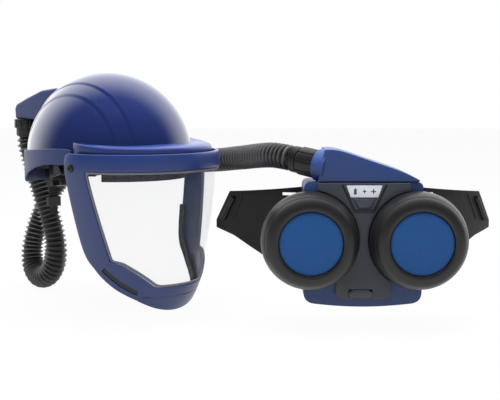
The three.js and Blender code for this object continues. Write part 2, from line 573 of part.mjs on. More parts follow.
const trapezoid = ({ top, bottom, half, lowHalf }, grow = 0) => outlineOf([
  [-lowHalf - grow, bottom - grow], [lowHalf + grow, bottom - grow],
  [half + grow, top + grow], [-half - grow, top + grow],
]);
function addFascia() {
  const back = -GAP;
  const front = back - FASCIA.depth;
  const foot = LATCH.bottom - 2;
  const head = BODY.top - FASCIA.margin;
  let plate = prismY(outlineOf([
    [FASCIA.chamfer - FASCIA.low, foot], [FASCIA.low - FASCIA.chamfer, foot],
    [FASCIA.low, foot + FASCIA.chamfer], [FASCIA.low, -40], [FASCIA.half, 40], [FASCIA.half, head],
    [-FASCIA.half, head], [-FASCIA.half, 40], [-FASCIA.low, -40], [-FASCIA.low, foot + FASCIA.chamfer],
  ]), front, back);
  const clear = FILTER.flange + 1;
  for (const side of [-1, 1]) {
    const x = side * FILTER.x;
    plate = plate.subtract(rod(clear, [x, front - 1, 0], [x, 1, 0], ROUND));
  }
  const pocket = BUTTON.travel + GAP + 3;
  const latchFloor = front + LATCH.travel + GAP + 3;
  const latchPocket = block([LATCH.left - GAP, front - 1, LATCH.bottom - GAP],
    [LATCH.right + GAP, latchFloor, LATCH.top + GAP]);
  plate = plate.subtract(prismY(trapezoid(DISPLAY, GAP), front - 1, front + DISPLAY.depth + GAP))
    .subtract(prismY(trapezoid(BUTTON, GAP), front - 1, front + pocket)).subtract(latchPocket);
  add(fanUnit, 'centre_fascia', plate, grey());
  const glass = prismY(trapezoid(DISPLAY), front, front + DISPLAY.depth);
  add(fanUnit, 'display_window', glass, finish(0xc9ced6, 0.2));
  const key = prismY(trapezoid(BUTTON), front - BUTTON.proud, front + pocket - GAP - BUTTON.travel);
  add(fanUnit, 'power_button', key, grey());
  const latch = block([LATCH.left, front - LATCH.proud, LATCH.bottom],
    [LATCH.right, latchFloor - GAP - LATCH.travel, LATCH.top]);
  add(fanUnit, 'battery_latch', latch, grey());
}

// ---------------------------------------------------------------- filters
function addFilters() {
  const seat = 2 * GAP + 2; // back of the canister, in front of its gasket
  for (const [name, side] of SIDES) {
    const x = side * FILTER.x;
    const ring = pipe(SPIGOT.radius + 9, SPIGOT.radius + GAP, [x, -GAP, 0], [x, -GAP - 2, 0], ROUND);
    add(fanUnit, `filter_gasket_${name}`, ring, rubber());
    const bore = SPIGOT.radius + GAP;
    const window = PREFILTER.radius;
    const inside = FILTER.body - 4;
    const { flange, front, rim } = FILTER_DEPTH;
    add(fanUnit, `filter_${name}`, turned([
      [bore, -seat], [bore, -seat - 3], [inside, -seat - 3], [inside, -front + 3], [window, -front + 3],
      [window, -front], [FILTER.body, -front], [FILTER.flange - 1.5, -flange - 10], [FILTER.flange, -flange],
      [FILTER.flange, -seat - 2], [FILTER.flange - 2, -seat],
    ], x), black());
    const mediaBack = -SPIGOT.length - MEDIA_GAP;
    const media = rod(inside - GAP, [x, -front + 3 + GAP, 0], [x, mediaBack, 0], ROUND);
    add(fanUnit, `filter_media_${name}`, media, finish(0xe8e6df, 0.9));
    const lip = window - 4;
    const hold = -rim + PREFILTER.recess + PREFILTER.depth + GAP;
    add(fanUnit, `prefilter_holder_${name}`, turned([
      [lip, -front - GAP], [lip, hold], [window + GAP, hold], [window + GAP, -rim + 3], [window + 3, -rim],
      [FILTER.body - 10, -rim], [FILTER.body - 4, -rim + 3.5], [FILTER.body - 0.3, -front - GAP],
    ], x), black());
    const disc = rod(window, [x, -rim + PREFILTER.recess, 0], [x, hold - GAP, 0], ROUND);
    add(fanUnit, `prefilter_${name}`, disc, finish(0x24508a, 0.9));
  }
}

// ---------------------------------------------------------------- fan, motor, battery, board
function addInside() {
  const { x, z, radius, wall, front, back, blades } = FAN_WHEEL;
  const outer = radius + wall + 3;
  const duct = block([x - outer, front + 2, z], [x - 12, back - 1, BODY.top - BODY.wall - GAP]);
  const ductBore = block([x - outer + wall, front + 2 + wall, z - 8], [x - 12 - wall, back - 1 - wall, BODY.top]);
  const cup = rod(outer, [x, front, z], [x, back, z], ROUND).add(duct)
    .subtract(rod(outer - wall, [x, front - 1, z], [x, back - wall, z], ROUND)).subtract(ductBore)
    .subtract(rod(MOTOR.shaft + 1, [x, back - wall - 1, z], [x, back + 1, z]));
  add(fanUnit, 'fan_volute', cup, grey());
  const hubBack = back - wall - 2;
  let wheel = rod(radius, [x, hubBack - 2, z], [x, hubBack, z], ROUND)
    .add(rod(8, [x, front + 4, z], [x, hubBack, z]));
  for (let i = 0; i < blades; i += 1) {
    const blade = new THREE.BoxGeometry(radius - 12, hubBack - front - 6, 1.6);
    blade.translate((radius + 10) / 2, 0, 0).rotateY(i * 2 * Math.PI / blades);
    blade.translate(x, (front + hubBack) / 2 + 1, z);
    wheel = wheel.add(solid(blade));
  }
  // Each blade meets the hub through a short root.
  wheel = wheel.add(pipe(13, 7, [x, hubBack - 4, z], [x, hubBack - 1, z]));
  const shaftHole = rod(MOTOR.shaft + GAP, [x, front, z], [x, back, z], 12);
  add(fanUnit, 'impeller', wheel.subtract(shaftHole), grey());
  add(fanUnit, 'motor_shaft', rod(MOTOR.shaft, [x, front + 5, z], [x, back, z], 12), steel());
  add(fanUnit, 'fan_motor', rod(MOTOR.radius, [x, back + GAP, z], [x, back + GAP + MOTOR.length, z], 20), steel());

  const pack = block([-BATTERY.half, BATTERY.front, BODY.bottom + 1.5], [BATTERY.half, BATTERY.back, BATTERY.top]);
  add(fanUnit, 'battery_pack', pack, black());
  const boardFront = BODY.wall + GAP;
  const board = block([-BOARD.half, boardFront, BOARD.bottom],
    [BOARD.half, boardFront + BOARD.thickness, BOARD.top]);
  add(fanUnit, 'control_board', board, finish(0x1d5c3a, 0.6));
}

// ---------------------------------------------------------------- harness plate and belt bars
const along = (value, stations) => {
  const last = stations.length - 1;
  const next = Math.max(1, Math.min(last, stations.findIndex(([x]) => x >= value)));
  const [[x0, z0], [x1, z1]] = [stations[next - 1], stations[next]];
  return z0 + (z1 - z0) * (value - x0) / (x1 - x0);
};
const TOP_EDGE = [[0, 59.5], [72, 61.5], [HARNESS.half - 19, 50], [HARNESS.half, 8]];
const BOTTOM_EDGE = [[0, -56], [60, -56], [117, -40], [HARNESS.half - 25, -11], [HARNESS.half, -3]];
const plateFront = BODY.depth + GAP;
const bendAt = (x) => HARNESS.bend * Math.max(0, Math.abs(x) - HARNESS.flat) ** 2;

function addHarness() {
  const geometry = new THREE.BoxGeometry(2 * HARNESS.half, HARNESS.wall, 1, HARNESS.slices, 1, 1);
  const spots = geometry.attributes.position;
  for (let i = 0; i < spots.count; i += 1) {
    const x = spots.getX(i);
    const z = along(Math.abs(x), spots.getZ(i) > 0 ? TOP_EDGE : BOTTOM_EDGE);
    spots.setXYZ(i, x, spots.getY(i) + plateFront + HARNESS.wall / 2 + bendAt(x), z);
  }
  let plate = solid(geometry);
  for (const side of [-1, 1]) {
    const { x, z, half, rise } = WING_SLOT;
    plate = plate.subtract(block([side * x - half, 0, z - rise], [side * x + half, FAR, z + rise]));
  }
  for (const [x, z] of screwSpots) {
    plate = plate.subtract(rod(SCREW.head + GAP, [x, BODY.depth - 1, z], [x, BODY.depth + 10, z], 12));
  }
  // A bar stands out along each slanted end, where the belt is threaded.
  for (const side of [-1, 1]) {
    const ends = [[HARNESS.half - 24, 42], [HARNESS.half - 9, 10]].map(([x, z]) =>
      [side * x, plateFront + bendAt(x) - BELT_BAR.radius / 2, z]);
    plate = plate.add(rod(BELT_BAR.radius, ...ends, 12));
  }
  add(fanUnit, 'harness_plate', plate, black());
  screwSpots.forEach(([x, z], i) => {
    const screw = rod(SCREW.head, [x, plateFront, z], [x, plateFront + 2.5, z], 12)
      .add(rod(SCREW.shank, [x, BODY.depth - 5, z], [x, plateFront + 1, z], 10));
    add(fanUnit, `harness_screw_${i + 1}`, screw, steel());
  });
}

addShell();
addVisor();
addBrow();
addPivots();
addSuspension();
addNapeStrap();
addHose();
addHousing();
addHood();
addFascia();
addFilters();
addInside();
addHarness();

export default part;
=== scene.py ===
import json
import math

import bmesh
import bpy
import numpy as np
from mathutils import Matrix, Vector


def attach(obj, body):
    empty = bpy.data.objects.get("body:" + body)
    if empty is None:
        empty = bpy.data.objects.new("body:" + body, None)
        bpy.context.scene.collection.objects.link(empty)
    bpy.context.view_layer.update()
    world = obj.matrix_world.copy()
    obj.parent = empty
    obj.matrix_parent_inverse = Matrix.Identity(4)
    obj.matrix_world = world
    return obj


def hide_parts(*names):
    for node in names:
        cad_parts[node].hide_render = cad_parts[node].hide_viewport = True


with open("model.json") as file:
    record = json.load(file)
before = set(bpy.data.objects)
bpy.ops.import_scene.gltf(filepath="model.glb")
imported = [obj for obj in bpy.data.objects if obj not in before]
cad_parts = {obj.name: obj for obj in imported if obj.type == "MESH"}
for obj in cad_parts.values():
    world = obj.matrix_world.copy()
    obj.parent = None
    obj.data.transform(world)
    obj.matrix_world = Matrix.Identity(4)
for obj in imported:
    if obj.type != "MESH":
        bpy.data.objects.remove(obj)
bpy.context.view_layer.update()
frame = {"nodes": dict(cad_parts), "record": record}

# Lengths are millimetres in each group's own frame; meshes are made in metres.
MM = 0.001
HELMET = Matrix.Rotation(math.radians(-40), 4, "Z")
SUSPENSION = HELMET @ Matrix.Rotation(math.radians(-12), 4, "Y")
FAN = Matrix.Translation((332.5, -112.5, -96))
WORLD = Matrix.Identity(4)
SIDES = (("right", -1), ("left", 1))
GAP = 0.3

SHELL = dict(centre=-10, length=122, half=104, height=114, wall=3)
PIVOT_X, PIVOT_Z = 43, -5
VISOR = dict(radius=113.5, drop=225, wall=4)
DUCT_END = (-188, 50)
OUTLET = dict(x=-67, y=28.5, z=96, yaw=35, rise=9, nut=18.6, length=26)
HOSE = dict(outer=17, bore=13, cuff=17.3, lead=8, pitch=6.8, depth=4.0, sharpness=1.8)
HOSE_ROUTE = [
    (-142, 119, 6), (-136, 117, -17), (-129, 115, -41), (-121, 112, -67), (-113, 109, -94),
    (-106, 106, -121), (-104, 107, -147), (-109, 113, -171), (-121, 124, -188), (-137, 142, -192),
    (-149, 158, -180), (-153, 169, -156), (-149, 175, -130), (-140, 180, -102), (-129, 182, -76),
    (-113, 181, -50), (-89, 176, -29), (-60, 167, -17), (-27, 156, -11), (6, 142, -8),
    (42, 126, -8), (79, 107, -9), (112, 86, -10), (143, 61, -7), (166, 38, -3),
    (182, 17, 0), (195, -4, 3), (207, -25, 5.5), (220, -45, 7),
]

# ---- camera
scene = bpy.context.scene
scene.view_settings.view_transform = "Standard"
camera = bpy.data.objects.new("camera", bpy.data.cameras.new("camera"))
scene.collection.objects.link(camera)
camera.location = (0.1877, -1.3777, 0.0986)
camera.rotation_euler = (math.radians(83.5), 0, 0)
camera.data.lens = 72
camera.data.sensor_width = 36
camera.data.clip_start = 0.05
scene.camera = camera


# ---- materials
def srgb(red, green, blue):
    def linear(value):
        value /= 255
        return value / 12.92 if value <= 0.04045 else ((value + 0.055) / 1.055) ** 2.4
    return (linear(red), linear(green), linear(blue), 1)


class Nodes:
    """A node tree built by short calls."""

    def __init__(self, tree):
        self.tree = tree

    def node(self, kind, inputs=(), **settings):
        made = self.tree.nodes.new(kind)
        for key, value in settings.items():
            setattr(made, key, value)
        for key, value in dict(inputs).items():
            if isinstance(value, bpy.types.NodeSocket):
                self.tree.links.new(value, made.inputs[key])
            else:
                made.inputs[key].default_value = value
        return made

    def ramp(self, value, low, high, start=0.0, end=1.0, **settings):
        made = self.node("ShaderNodeMapRange", {
            "Value": value, "From Min": low, "From Max": high, "To Min": start, "To Max": end}, **settings)
        return made.outputs["Result"]

    def math(self, operation, a, b):
        return self.node("ShaderNodeMath", {0: a, 1: b}, operation=operation).outputs[0]


class Shader(Nodes):
    """A Principled material with its textures in object coordinates."""

    def __init__(self, name, **sockets):
        self.material = bpy.data.materials.new(name)
        self.material.use_nodes = True
        super().__init__(self.material.node_tree)
        self.bsdf = self.tree.nodes["Principled BSDF"]
        self.where = self.node("ShaderNodeTexCoord").outputs["Object"]
        for key, value in sockets.items():
            self.bsdf.inputs[key.replace("_", " ")].default_value = value

    def noise(self, scale, detail=4, rough=0.55, stretch=None, distortion=0):
        where = self.where
        if stretch:
            where = self.node("ShaderNodeMapping", {"Vector": where, "Scale": stretch}).outputs[0]
        made = self.node("ShaderNodeTexNoise", {
            "Vector": where, "Scale": scale, "Detail": detail, "Roughness": rough,
            "Distortion": distortion})
        return made.outputs["Fac"]

    def mix(self, factor, a, b):
        return self.node("ShaderNodeMix", {0: factor, 6: a, 7: b}, data_type="RGBA").outputs[2]

    def bump(self, height, distance, strength=1.0):
        inputs = {"Height": height, "Distance": distance, "Strength": strength}
        previous = self.bsdf.inputs["Normal"].links
        if previous:
            inputs["Normal"] = previous[0].from_socket
        made = self.node("ShaderNodeBump", inputs)
        self.tree.links.new(made.outputs[0], self.bsdf.inputs["Normal"])

    def colour(self, value):
        self.tree.links.new(value, self.bsdf.inputs["Base Color"])

    def roughness(self, value):
        self.tree.links.new(value, self.bsdf.inputs["Roughness"])


def shade(colour, factor):
    return tuple(min(1, c * factor) for c in colour[:3]) + (1,)


def plastic(name, colour, rough, grain=0.00006, wear=0.5, mottle=0.1, **sockets):
    """Moulded plastic: fine spark-eroded grain, soft colour drift, sharp edges paler in patches, and
    hairlines.
    """
    made = Shader(name, **sockets)
    drift = made.noise(18, 3)
    fine = made.noise(1900, 3)
    hairs = made.noise(240, 5, 0.7, stretch=(1, 0.08, 0.3))
    pale = made.mix(drift, shade(colour, 1 - mottle), shade(colour, 1 + mottle))
    # Sharp convex edges are coloured paler in patches, up to the share the caller gives.
    edges = made.ramp(made.node("ShaderNodeNewGeometry").outputs["Pointiness"], 0.52, 0.62)
    pale_edges = made.math("MULTIPLY", edges, made.ramp(made.noise(160, 4), 0.35, 0.7, 0, wear))
    made.colour(made.mix(pale_edges, pale, shade(colour, 1.9)))
    uneven = made.math("ADD", made.ramp(drift, 0.3, 0.7, -0.035, 0.035), rough)
    made.roughness(made.math("ADD", uneven, made.ramp(hairs, 0.6, 0.75, 0, 0.08)))
    made.bump(fine, grain)
    return made.material


def gloss_shell():
    colour = srgb(19, 30, 72)
    made = Shader("shell_gloss", IOR=1.5, Coat_Weight=0.6, Coat_Roughness=0.04)
    drift = made.noise(9, 2)
    specks = made.noise(900, 2)
    made.colour(made.mix(drift, shade(colour, 0.88), shade(colour, 1.15)))
    scratch = made.noise(90, 6, 0.75, stretch=(1, 0.06, 0.5))
    made.roughness(made.ramp(scratch, 0.55, 0.8, 0.13, 0.26))
    made.bump(made.noise(14, 2), 0.0006, 0.25)
    made.bump(specks, 0.00001)
    return made.material


def fibre():
    """Pressed felt: tangled fibres, small tufts and a faint pressed grid."""
    colour = srgb(20, 72, 130)
    made = Shader("prefilter_blue", Roughness=0.9, Sheen_Weight=0.25)
    made.bsdf.inputs["Sheen Tint"].default_value = srgb(150, 180, 220)
    tangle = made.noise(420, 8, 0.75, distortion=2.2)
    blotch = made.noise(70, 4, 0.6)
    cells = made.node("ShaderNodeTexVoronoi", {"Vector": made.where, "Scale": 260},
                      feature="SMOOTH_F1").outputs["Distance"]
    both = made.math("MULTIPLY", made.ramp(tangle, 0.25, 0.75), made.ramp(blotch, 0.2, 0.8, 0.7, 1.1))
    made.colour(made.mix(both, shade(colour, 0.62), shade(colour, 1.28)))
    made.bump(tangle, 0.0007, 0.8)
    made.bump(cells, 0.0006, 0.35)
    return made.material


def webbing(name, colour):
    made = Shader(name, Roughness=0.85, Sheen_Weight=0.15)
    threads = [made.node("ShaderNodeTexWave", {"Vector": made.where, "Scale": scale, "Distortion": 1.5,
                                               "Detail": 1}, bands_direction=way).outputs["Fac"]
               for way, scale in (("X", 420), ("Y", 420), ("Z", 300))]
    weave = made.math("MULTIPLY", made.math("ADD", threads[0], threads[1]), threads[2])
    made.colour(made.mix(weave, shade(colour, 0.7), shade(colour, 1.3)))
    made.bump(weave, 0.0003)
    return made.material


def foam(name, colour):
    made = Shader(name, Roughness=0.95, Sheen_Weight=0.1)
    cells = made.node("ShaderNodeTexVoronoi", {"Vector": made.where, "Scale": 900}).outputs["Distance"]
    made.colour(made.mix(cells, shade(colour, 0.6), shade(colour, 1.3)))
    made.bump(cells, 0.0005, 0.8)
    made.bump(made.noise(120, 4), 0.0006, 0.5)
    return made.material


def hose_rubber():
    """Ribbed hose: near black between the ribs, with a painted highlight on the crests, patchy along them,
    and glossier crests.
    """
    made = Shader("hose_black", Specular_IOR_Level=0.6)
    crest = made.node("ShaderNodeAttribute", attribute_name="crest").outputs["Fac"]
    uneven = made.ramp(made.noise(120, 4), 0.3, 0.7, 0.7, 1.0)
    # Painted highlight: the crests are coloured pale where the ribs stand high, as if lit, and are also made
    # glossier.
    crest_highlight = made.math("MULTIPLY", made.ramp(crest, 0.45, 1.0), uneven)
    made.colour(made.mix(crest_highlight, srgb(12, 12, 13), srgb(84, 84, 86)))
    made.roughness(made.ramp(crest_highlight, 0.0, 1.0, 0.5, 0.26))
    made.bump(made.noise(1500, 3), 0.00002)
    return made.material


def lens_clear():
    made = Shader("clear_lens", Roughness=0.03, IOR=1.45, Alpha=0.06)
    made.bsdf.inputs["Base Color"].default_value = srgb(150, 155, 165)
    wipe = made.noise(30, 5, 0.7, stretch=(1, 1, 0.12))
    made.roughness(made.ramp(wipe, 0.5, 0.8, 0.02, 0.12))
    made.material.surface_render_method = "BLENDED"
    return made.material


def metal(name, colour, rough):
    made = Shader(name, Metallic=1.0)
    brushed = made.noise(600, 4, 0.6, stretch=(1, 0.1, 1))
    made.colour(made.mix(brushed, shade(colour, 0.85), shade(colour, 1.08)))
    made.roughness(made.ramp(brushed, 0.3, 0.7, rough - 0.06, rough + 0.1))
    made.bump(brushed, 0.00003)
    return made.material


def display():
    made = Shader("display_silver", Roughness=0.22, Metallic=0.15, Coat_Weight=0.5)
    made.colour(made.mix(made.noise(60, 3), srgb(196, 201, 212), srgb(222, 226, 233)))
    made.bump(made.noise(1500, 2), 0.00001)
    return made.material


def board():
    made = Shader("board_green", Roughness=0.45)
    tracks = made.node("ShaderNodeTexBrick", {
        "Vector": made.where, "Scale": 160, "Mortar Size": 0.06, "Color1": srgb(24, 92, 58),
        "Color2": srgb(30, 104, 66), "Mortar": srgb(150, 128, 60)}).outputs["Color"]
    made.colour(tracks)
    made.bump(made.noise(700, 3), 0.0001)
    return made.material


PLASTICS = {
    "visor_blue": ((30, 48, 100), 0.34, dict(Coat_Weight=0.15, Coat_Roughness=0.25)),
    "band_blue": ((38, 50, 92), 0.42, {}),
    "unit_blue": ((36, 58, 106), 0.42, {}),
    "gasket_grey": ((96, 100, 110), 0.5, dict(wear=0)),
    "seal_rubber": ((24, 25, 28), 0.75, dict(grain=0.00012, wear=0)),
    "black_plastic": ((19, 20, 23), 0.42, {}),
    "harness_black": ((13, 13, 14), 0.5, dict(grain=0.00012)),
    "filter_black": ((25, 25, 26), 0.42, dict(grain=0.00003)),
    "fascia_grey": ((50, 54, 63), 0.4, {}),
    "button_grey": ((54, 59, 69), 0.38, {}),
}
FINISH = {name: plastic(name, srgb(*colour), rough, **more)
          for name, (colour, rough, more) in PLASTICS.items()}
FINISH |= {
    "shell_gloss": gloss_shell(),
    "clear_lens": lens_clear(),
    "prefilter_blue": fibre(),
    "media_white": foam("media_white", srgb(226, 224, 216)),
    "hose_black": hose_rubber(),
    "strap_webbing": webbing("strap_webbing", srgb(36, 37, 42)),
    "pad_foam": foam("pad_foam", srgb(38, 40, 46)),
    "display_silver": display(),
    "steel": metal("steel", srgb(190, 194, 200), 0.32),
    "board_green": board(),
}
bodies = frame["record"]["behaviour"]["bodies"]
body_of_node = {node: body for body, nodes in bodies.items() for node in nodes}
slot_of_node = {row["node"]: row["material_slot"] for row in frame["record"]["subparts"]}


# ---- mesh building
def settle(name, points, faces, place, sharp=38, slot=None):
    """Makes the mesh in metres where the CAD has it, in its CAD node's material or in the slot given."""
    points = np.asarray(points, float).reshape(-1, 3)
    turn = np.array(place)
    moved = (points @ turn[:3, :3].T + turn[:3, 3]) * MM
    mesh = bpy.data.meshes.new(name)
    mesh.from_pydata(moved.tolist(), [], [list(map(int, f)) for f in faces])
    tidy_mesh(mesh, sharp)
    made = bpy.data.objects.new(name + "_looks", mesh)
    scene.collection.objects.link(made)
    slot = slot or slot_of_node.get(name)
    if slot:
        made.data.materials.append(FINISH[slot])
    return made


def tidy_mesh(mesh, sharp):
    work = bmesh.new()
    work.from_mesh(mesh)
    bmesh.ops.remove_doubles(work, verts=work.verts, dist=2e-6)
    bmesh.ops.dissolve_degenerate(work, dist=1e-6, edges=work.edges)
    bmesh.ops.recalc_face_normals(work, faces=work.faces)
    limit = math.radians(sharp)
    for face in work.faces:
        face.smooth = True
    for edge in work.edges:
        edge.smooth = not (len(edge.link_faces) == 2 and edge.calc_face_angle(0) > limit)
    work.to_mesh(mesh)
    work.free()


def stands(made):
    """Rides on the body of the CAD node it's named after, and stands for that node."""
    node = made.name[:-len("_looks")]
    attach(made, body_of_node[node])
    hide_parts(node)
    return made


def part(name, shape, place, **settings):
    return stands(settle(name, *shape, place, **settings))


def apply_modifiers(made):
    graph = bpy.context.evaluated_depsgraph_get()
    mesh = bpy.data.meshes.new_from_object(made.evaluated_get(graph))
    made.modifiers.clear()
    made.data = mesh
    tidy_mesh(mesh, 38)
    return made


def soften(made, width, segments=3, angle=38):
    edge = made.modifiers.new("bevel", "BEVEL")
    edge.width = width * MM
    edge.segments = segments
    edge.limit_method = "ANGLE"
    edge.angle_limit = math.radians(angle)
    return apply_modifiers(made)


def combine(made, tools, operation="DIFFERENCE"):
    for tool in tools:
        step = made.modifiers.new("cut", "BOOLEAN")
        step.operation = operation
        step.object = tool
        step.solver = "MANIFOLD"
    apply_modifiers(made)
    for tool in tools:
        bpy.data.objects.remove(tool)
    return made


def grid_faces(rows, columns, wrap_rows=False, wrap_columns=False, start=0):
    faces = []
    for i in range(rows if wrap_rows else rows - 1):
        for j in range(columns if wrap_columns else columns - 1):
            a, b = i, (i + 1) % rows
            c, d = j, (j + 1) % columns
            faces.append([start + a * columns + c, start + b * columns + c,
                          start + b * columns + d, start + a * columns + d])
    return faces


def hoop(points):
    """Faces of sections [i][j] that close round the section and, end to end, along the row."""
    points = np.asarray(points)
    rows, columns = points.shape[:2]
    return points.reshape(-1, 3), grid_faces(rows, columns, True, True)


def bar(points):
    """Sections [i][j] that close round the section, with a flat end on the first and the last."""
    points = np.asarray(points)
    rows, columns = points.shape[:2]
    faces = grid_faces(rows, columns, False, True)
    faces.append(list(range(columns))[::-1])
    faces.append([(rows - 1) * columns + j for j in range(columns)])
    return points.reshape(-1, 3), faces


def slab(near, far):
    """A closed plate between two matching point grids [i][j]."""
    rows, columns = near.shape[:2]
    count = rows * columns
    faces = grid_faces(rows, columns) + [f[::-1] for f in grid_faces(rows, columns, start=count)]
    rim = [(i, 0) for i in range(rows)] + [(rows - 1, j) for j in range(1, columns)]
    rim += [(i, columns - 1) for i in range(rows - 2, -1, -1)] + [(0, j) for j in range(columns - 2, 0, -1)]
    spots = [i * columns + j for i, j in rim]
    for a, b in zip(spots, spots[1:] + spots[:1]):
        faces.append([a, a + count, b + count, b])
    return np.concatenate([near.reshape(-1, 3), far.reshape(-1, 3)]), faces


def prism(outline, low, high):
    """An outline of (x, z) points pushed along y."""
    flat = np.asarray(outline, float)
    count = len(flat)
    points = np.insert(np.tile(flat, (2, 1)), 1, np.repeat((low, high), count), axis=1)
    faces = [list(range(count)), [2 * count - 1 - i for i in range(count)]]
    faces += [[i, (i + 1) % count, count + (i + 1) % count, count + i] for i in range(count)]
    return points, faces


def frame_of(way):
    way = np.asarray(way, float) / np.linalg.norm(way)
    helper = np.array([0, 0, 1.0]) if abs(way[2]) < 0.9 else np.array([1.0, 0, 0])
    side = np.cross(helper, way)
    side /= np.linalg.norm(side)
    return way, side, np.cross(way, side)


def turned(profile, origin, way, facets=96, flutes=0, flute_depth=0.0, flute_share=0.4):
    """A closed outline of (radius, distance) points turned about an axis; flutes cut grooves in it."""
    way, side, other = frame_of(way)
    profile = np.asarray(profile, float)
    angles = np.arange(facets) * 2 * math.pi / facets
    points = np.zeros((facets, len(profile), 3))
    biggest = profile[:, 0].max()
    for i, angle in enumerate(angles):
        phase = (angle * flutes / (2 * math.pi)) % 1 if flutes else 1
        dip = flute_depth * math.sin(math.pi * phase / flute_share) ** 2 if phase < flute_share else 0
        radii = profile[:, 0] - dip * np.clip((profile[:, 0] - biggest + 2.5) / 2, 0, 1)
        direction = side * math.cos(angle) + other * math.sin(angle)
        points[i] = np.asarray(origin) + radii[:, None] * direction + profile[:, 1:2] * way
    return hoop(points)


def rounded_ring(inner, outer, start, end, radius=1.2, turn=4):
    """Outline of a round piece with a bore: (radius, distance) with its corners rounded."""
    width = min(radius, (outer - inner) / 2.01, abs(end - start) / 2.01)
    low, high = min(start, end), max(start, end)
    points = []
    for cx, cy, first in ((outer - width, high - width, 0), (inner + width, high - width, 90),
                          (inner + width, low + width, 180), (outer - width, low + width, 270)):
        for k in range(turn + 1):
            angle = math.radians(first + 90 * k / turn)
            points.append((cx + width * math.cos(angle), cy + width * math.sin(angle)))
    return points


def strip_outline(width, near, far, radius):
    """Section of a strip: (distance across, depth) points round a box with rounded corners."""
    flat, turn = 8, 4
    radius = min(radius, width / 2.05, (far - near) / 2.05)
    points = []
    quarter = [math.radians(90 * k / turn) for k in range(turn + 1)]
    points += [(radius - radius * math.cos(t), near + radius - radius * math.sin(t)) for t in quarter]
    points += [(radius + (width - 2 * radius) * k / flat, near) for k in range(1, flat)]
    points += [(width - radius + radius * math.sin(t), near + radius - radius * math.cos(t)) for t in quarter]
    points += [(width - radius + radius * math.cos(t), far - radius + radius * math.sin(t)) for t in quarter]
    points += [(width - radius - (width - 2 * radius) * k / flat, far) for k in range(1, flat)]
    points += [(radius - radius * math.sin(t), far - radius + radius * math.cos(t)) for t in quarter]
    return points


def circle(radius, side, other, count):
    """Points round a circle in the plane of two unit vectors."""
    angles = np.arange(count) * 2 * math.pi / count
    return radius * (np.cos(angles)[:, None] * side + np.sin(angles)[:, None] * other)


def tool(points_faces, place):
    """A solid to cut or join with, which combine() removes after use."""
    return settle("tool", *points_faces, place)


def cylinder(radius, start, end, place, facets=96):
    start, end = np.asarray(start, float), np.asarray(end, float)
    ring = circle(radius, *frame_of(end - start)[1:], facets)
    return tool(bar(np.stack([start + ring, end + ring])), place)


def box(low, high, place):
    outline = [(low[0], low[2]), (high[0], low[2]), (high[0], high[2]), (low[0], high[2])]
    return tool(prism(outline, low[1], high[1]), place)


def quadratic(start, middle, end, count=20, last=True):
    """A curve from start to end that bends towards middle, with or without its last point."""
    t = np.linspace(0, 1, count, endpoint=last)[:, None]
    return (1 - t) ** 2 * np.array(start) + 2 * t * (1 - t) * np.array(middle) + t ** 2 * np.array(end)


def smooth_step(value, low, high):
    t = np.clip((value - low) / (high - low), 0, 1)
    return t * t * (3 - 2 * t)


def resample(points, count):
    points = np.asarray(points, float)
    steps = np.concatenate([[0], np.cumsum(np.linalg.norm(np.diff(points, axis=0), axis=1))])
    spots = np.linspace(0, steps[-1], count)
    return np.stack([np.interp(spots, steps, points[:, k]) for k in range(points.shape[1])], 1)


def catmull(points, power, per_span=24):
    """A Catmull-Rom curve through the points; power 0 is even spans and 0.5 is centripetal."""
    points = [np.asarray(p, float) for p in points]
    if power:
        ends = [2 * points[0] - points[1], 2 * points[-1] - points[-2]]
    else:
        ends = [points[0], points[-1]]
    padded = [ends[0], *points, ends[1]]
    made = []
    for k in range(len(points) - 1):
        p0, p1, p2, p3 = padded[k:k + 4]
        d0, d1, d2 = (max(np.linalg.norm(b - a), 1e-4) ** power for a, b in ((p0, p1), (p1, p2), (p2, p3)))
        m1 = ((p1 - p0) / d0 - (p2 - p0) / (d0 + d1) + (p2 - p1) / d1) * d1
        m2 = ((p2 - p1) / d1 - (p3 - p1) / (d1 + d2) + (p3 - p2) / d2) * d1
        for t in np.arange(per_span) / per_span:
            made.append((2 * t**3 - 3 * t**2 + 1) * p1 + (t**3 - 2 * t**2 + t) * m1
                        + (3 * t**2 - 2 * t**3) * p2 + (t**3 - t**2) * m2)
    return np.array(made + [points[-1]])


# ---- breathing hose
def outlet_way():
    rise, yaw = math.radians(OUTLET["rise"]), math.radians(OUTLET["yaw"])
    return np.array([-math.cos(rise) * math.cos(yaw), math.cos(rise) * math.sin(yaw), math.sin(rise)])


OUTLET_SPOT = np.array([OUTLET[axis] for axis in "xyz"])
CUFF_LENGTH = 24
CUFF_BACK = OUTLET["length"] / 2 + 12
COLLAR = dict(outer=20, length=13)
HOSE_FACETS = 28
RIB_STEPS = 8


def hose_path():
    turn = np.array(HELMET)[:3, :3]
    port = turn @ np.array([DUCT_END[0], 0, DUCT_END[1] - 2 * GAP - CUFF_LENGTH])
    end = OUTLET_SPOT + outlet_way() * (CUFF_BACK + GAP) + np.array(FAN)[:3, 3]
    lead = HOSE["lead"]
    points = [port, port + [0, 0, -lead], *HOSE_ROUTE, end + outlet_way() * lead, end]
    return catmull(points, 0.5)


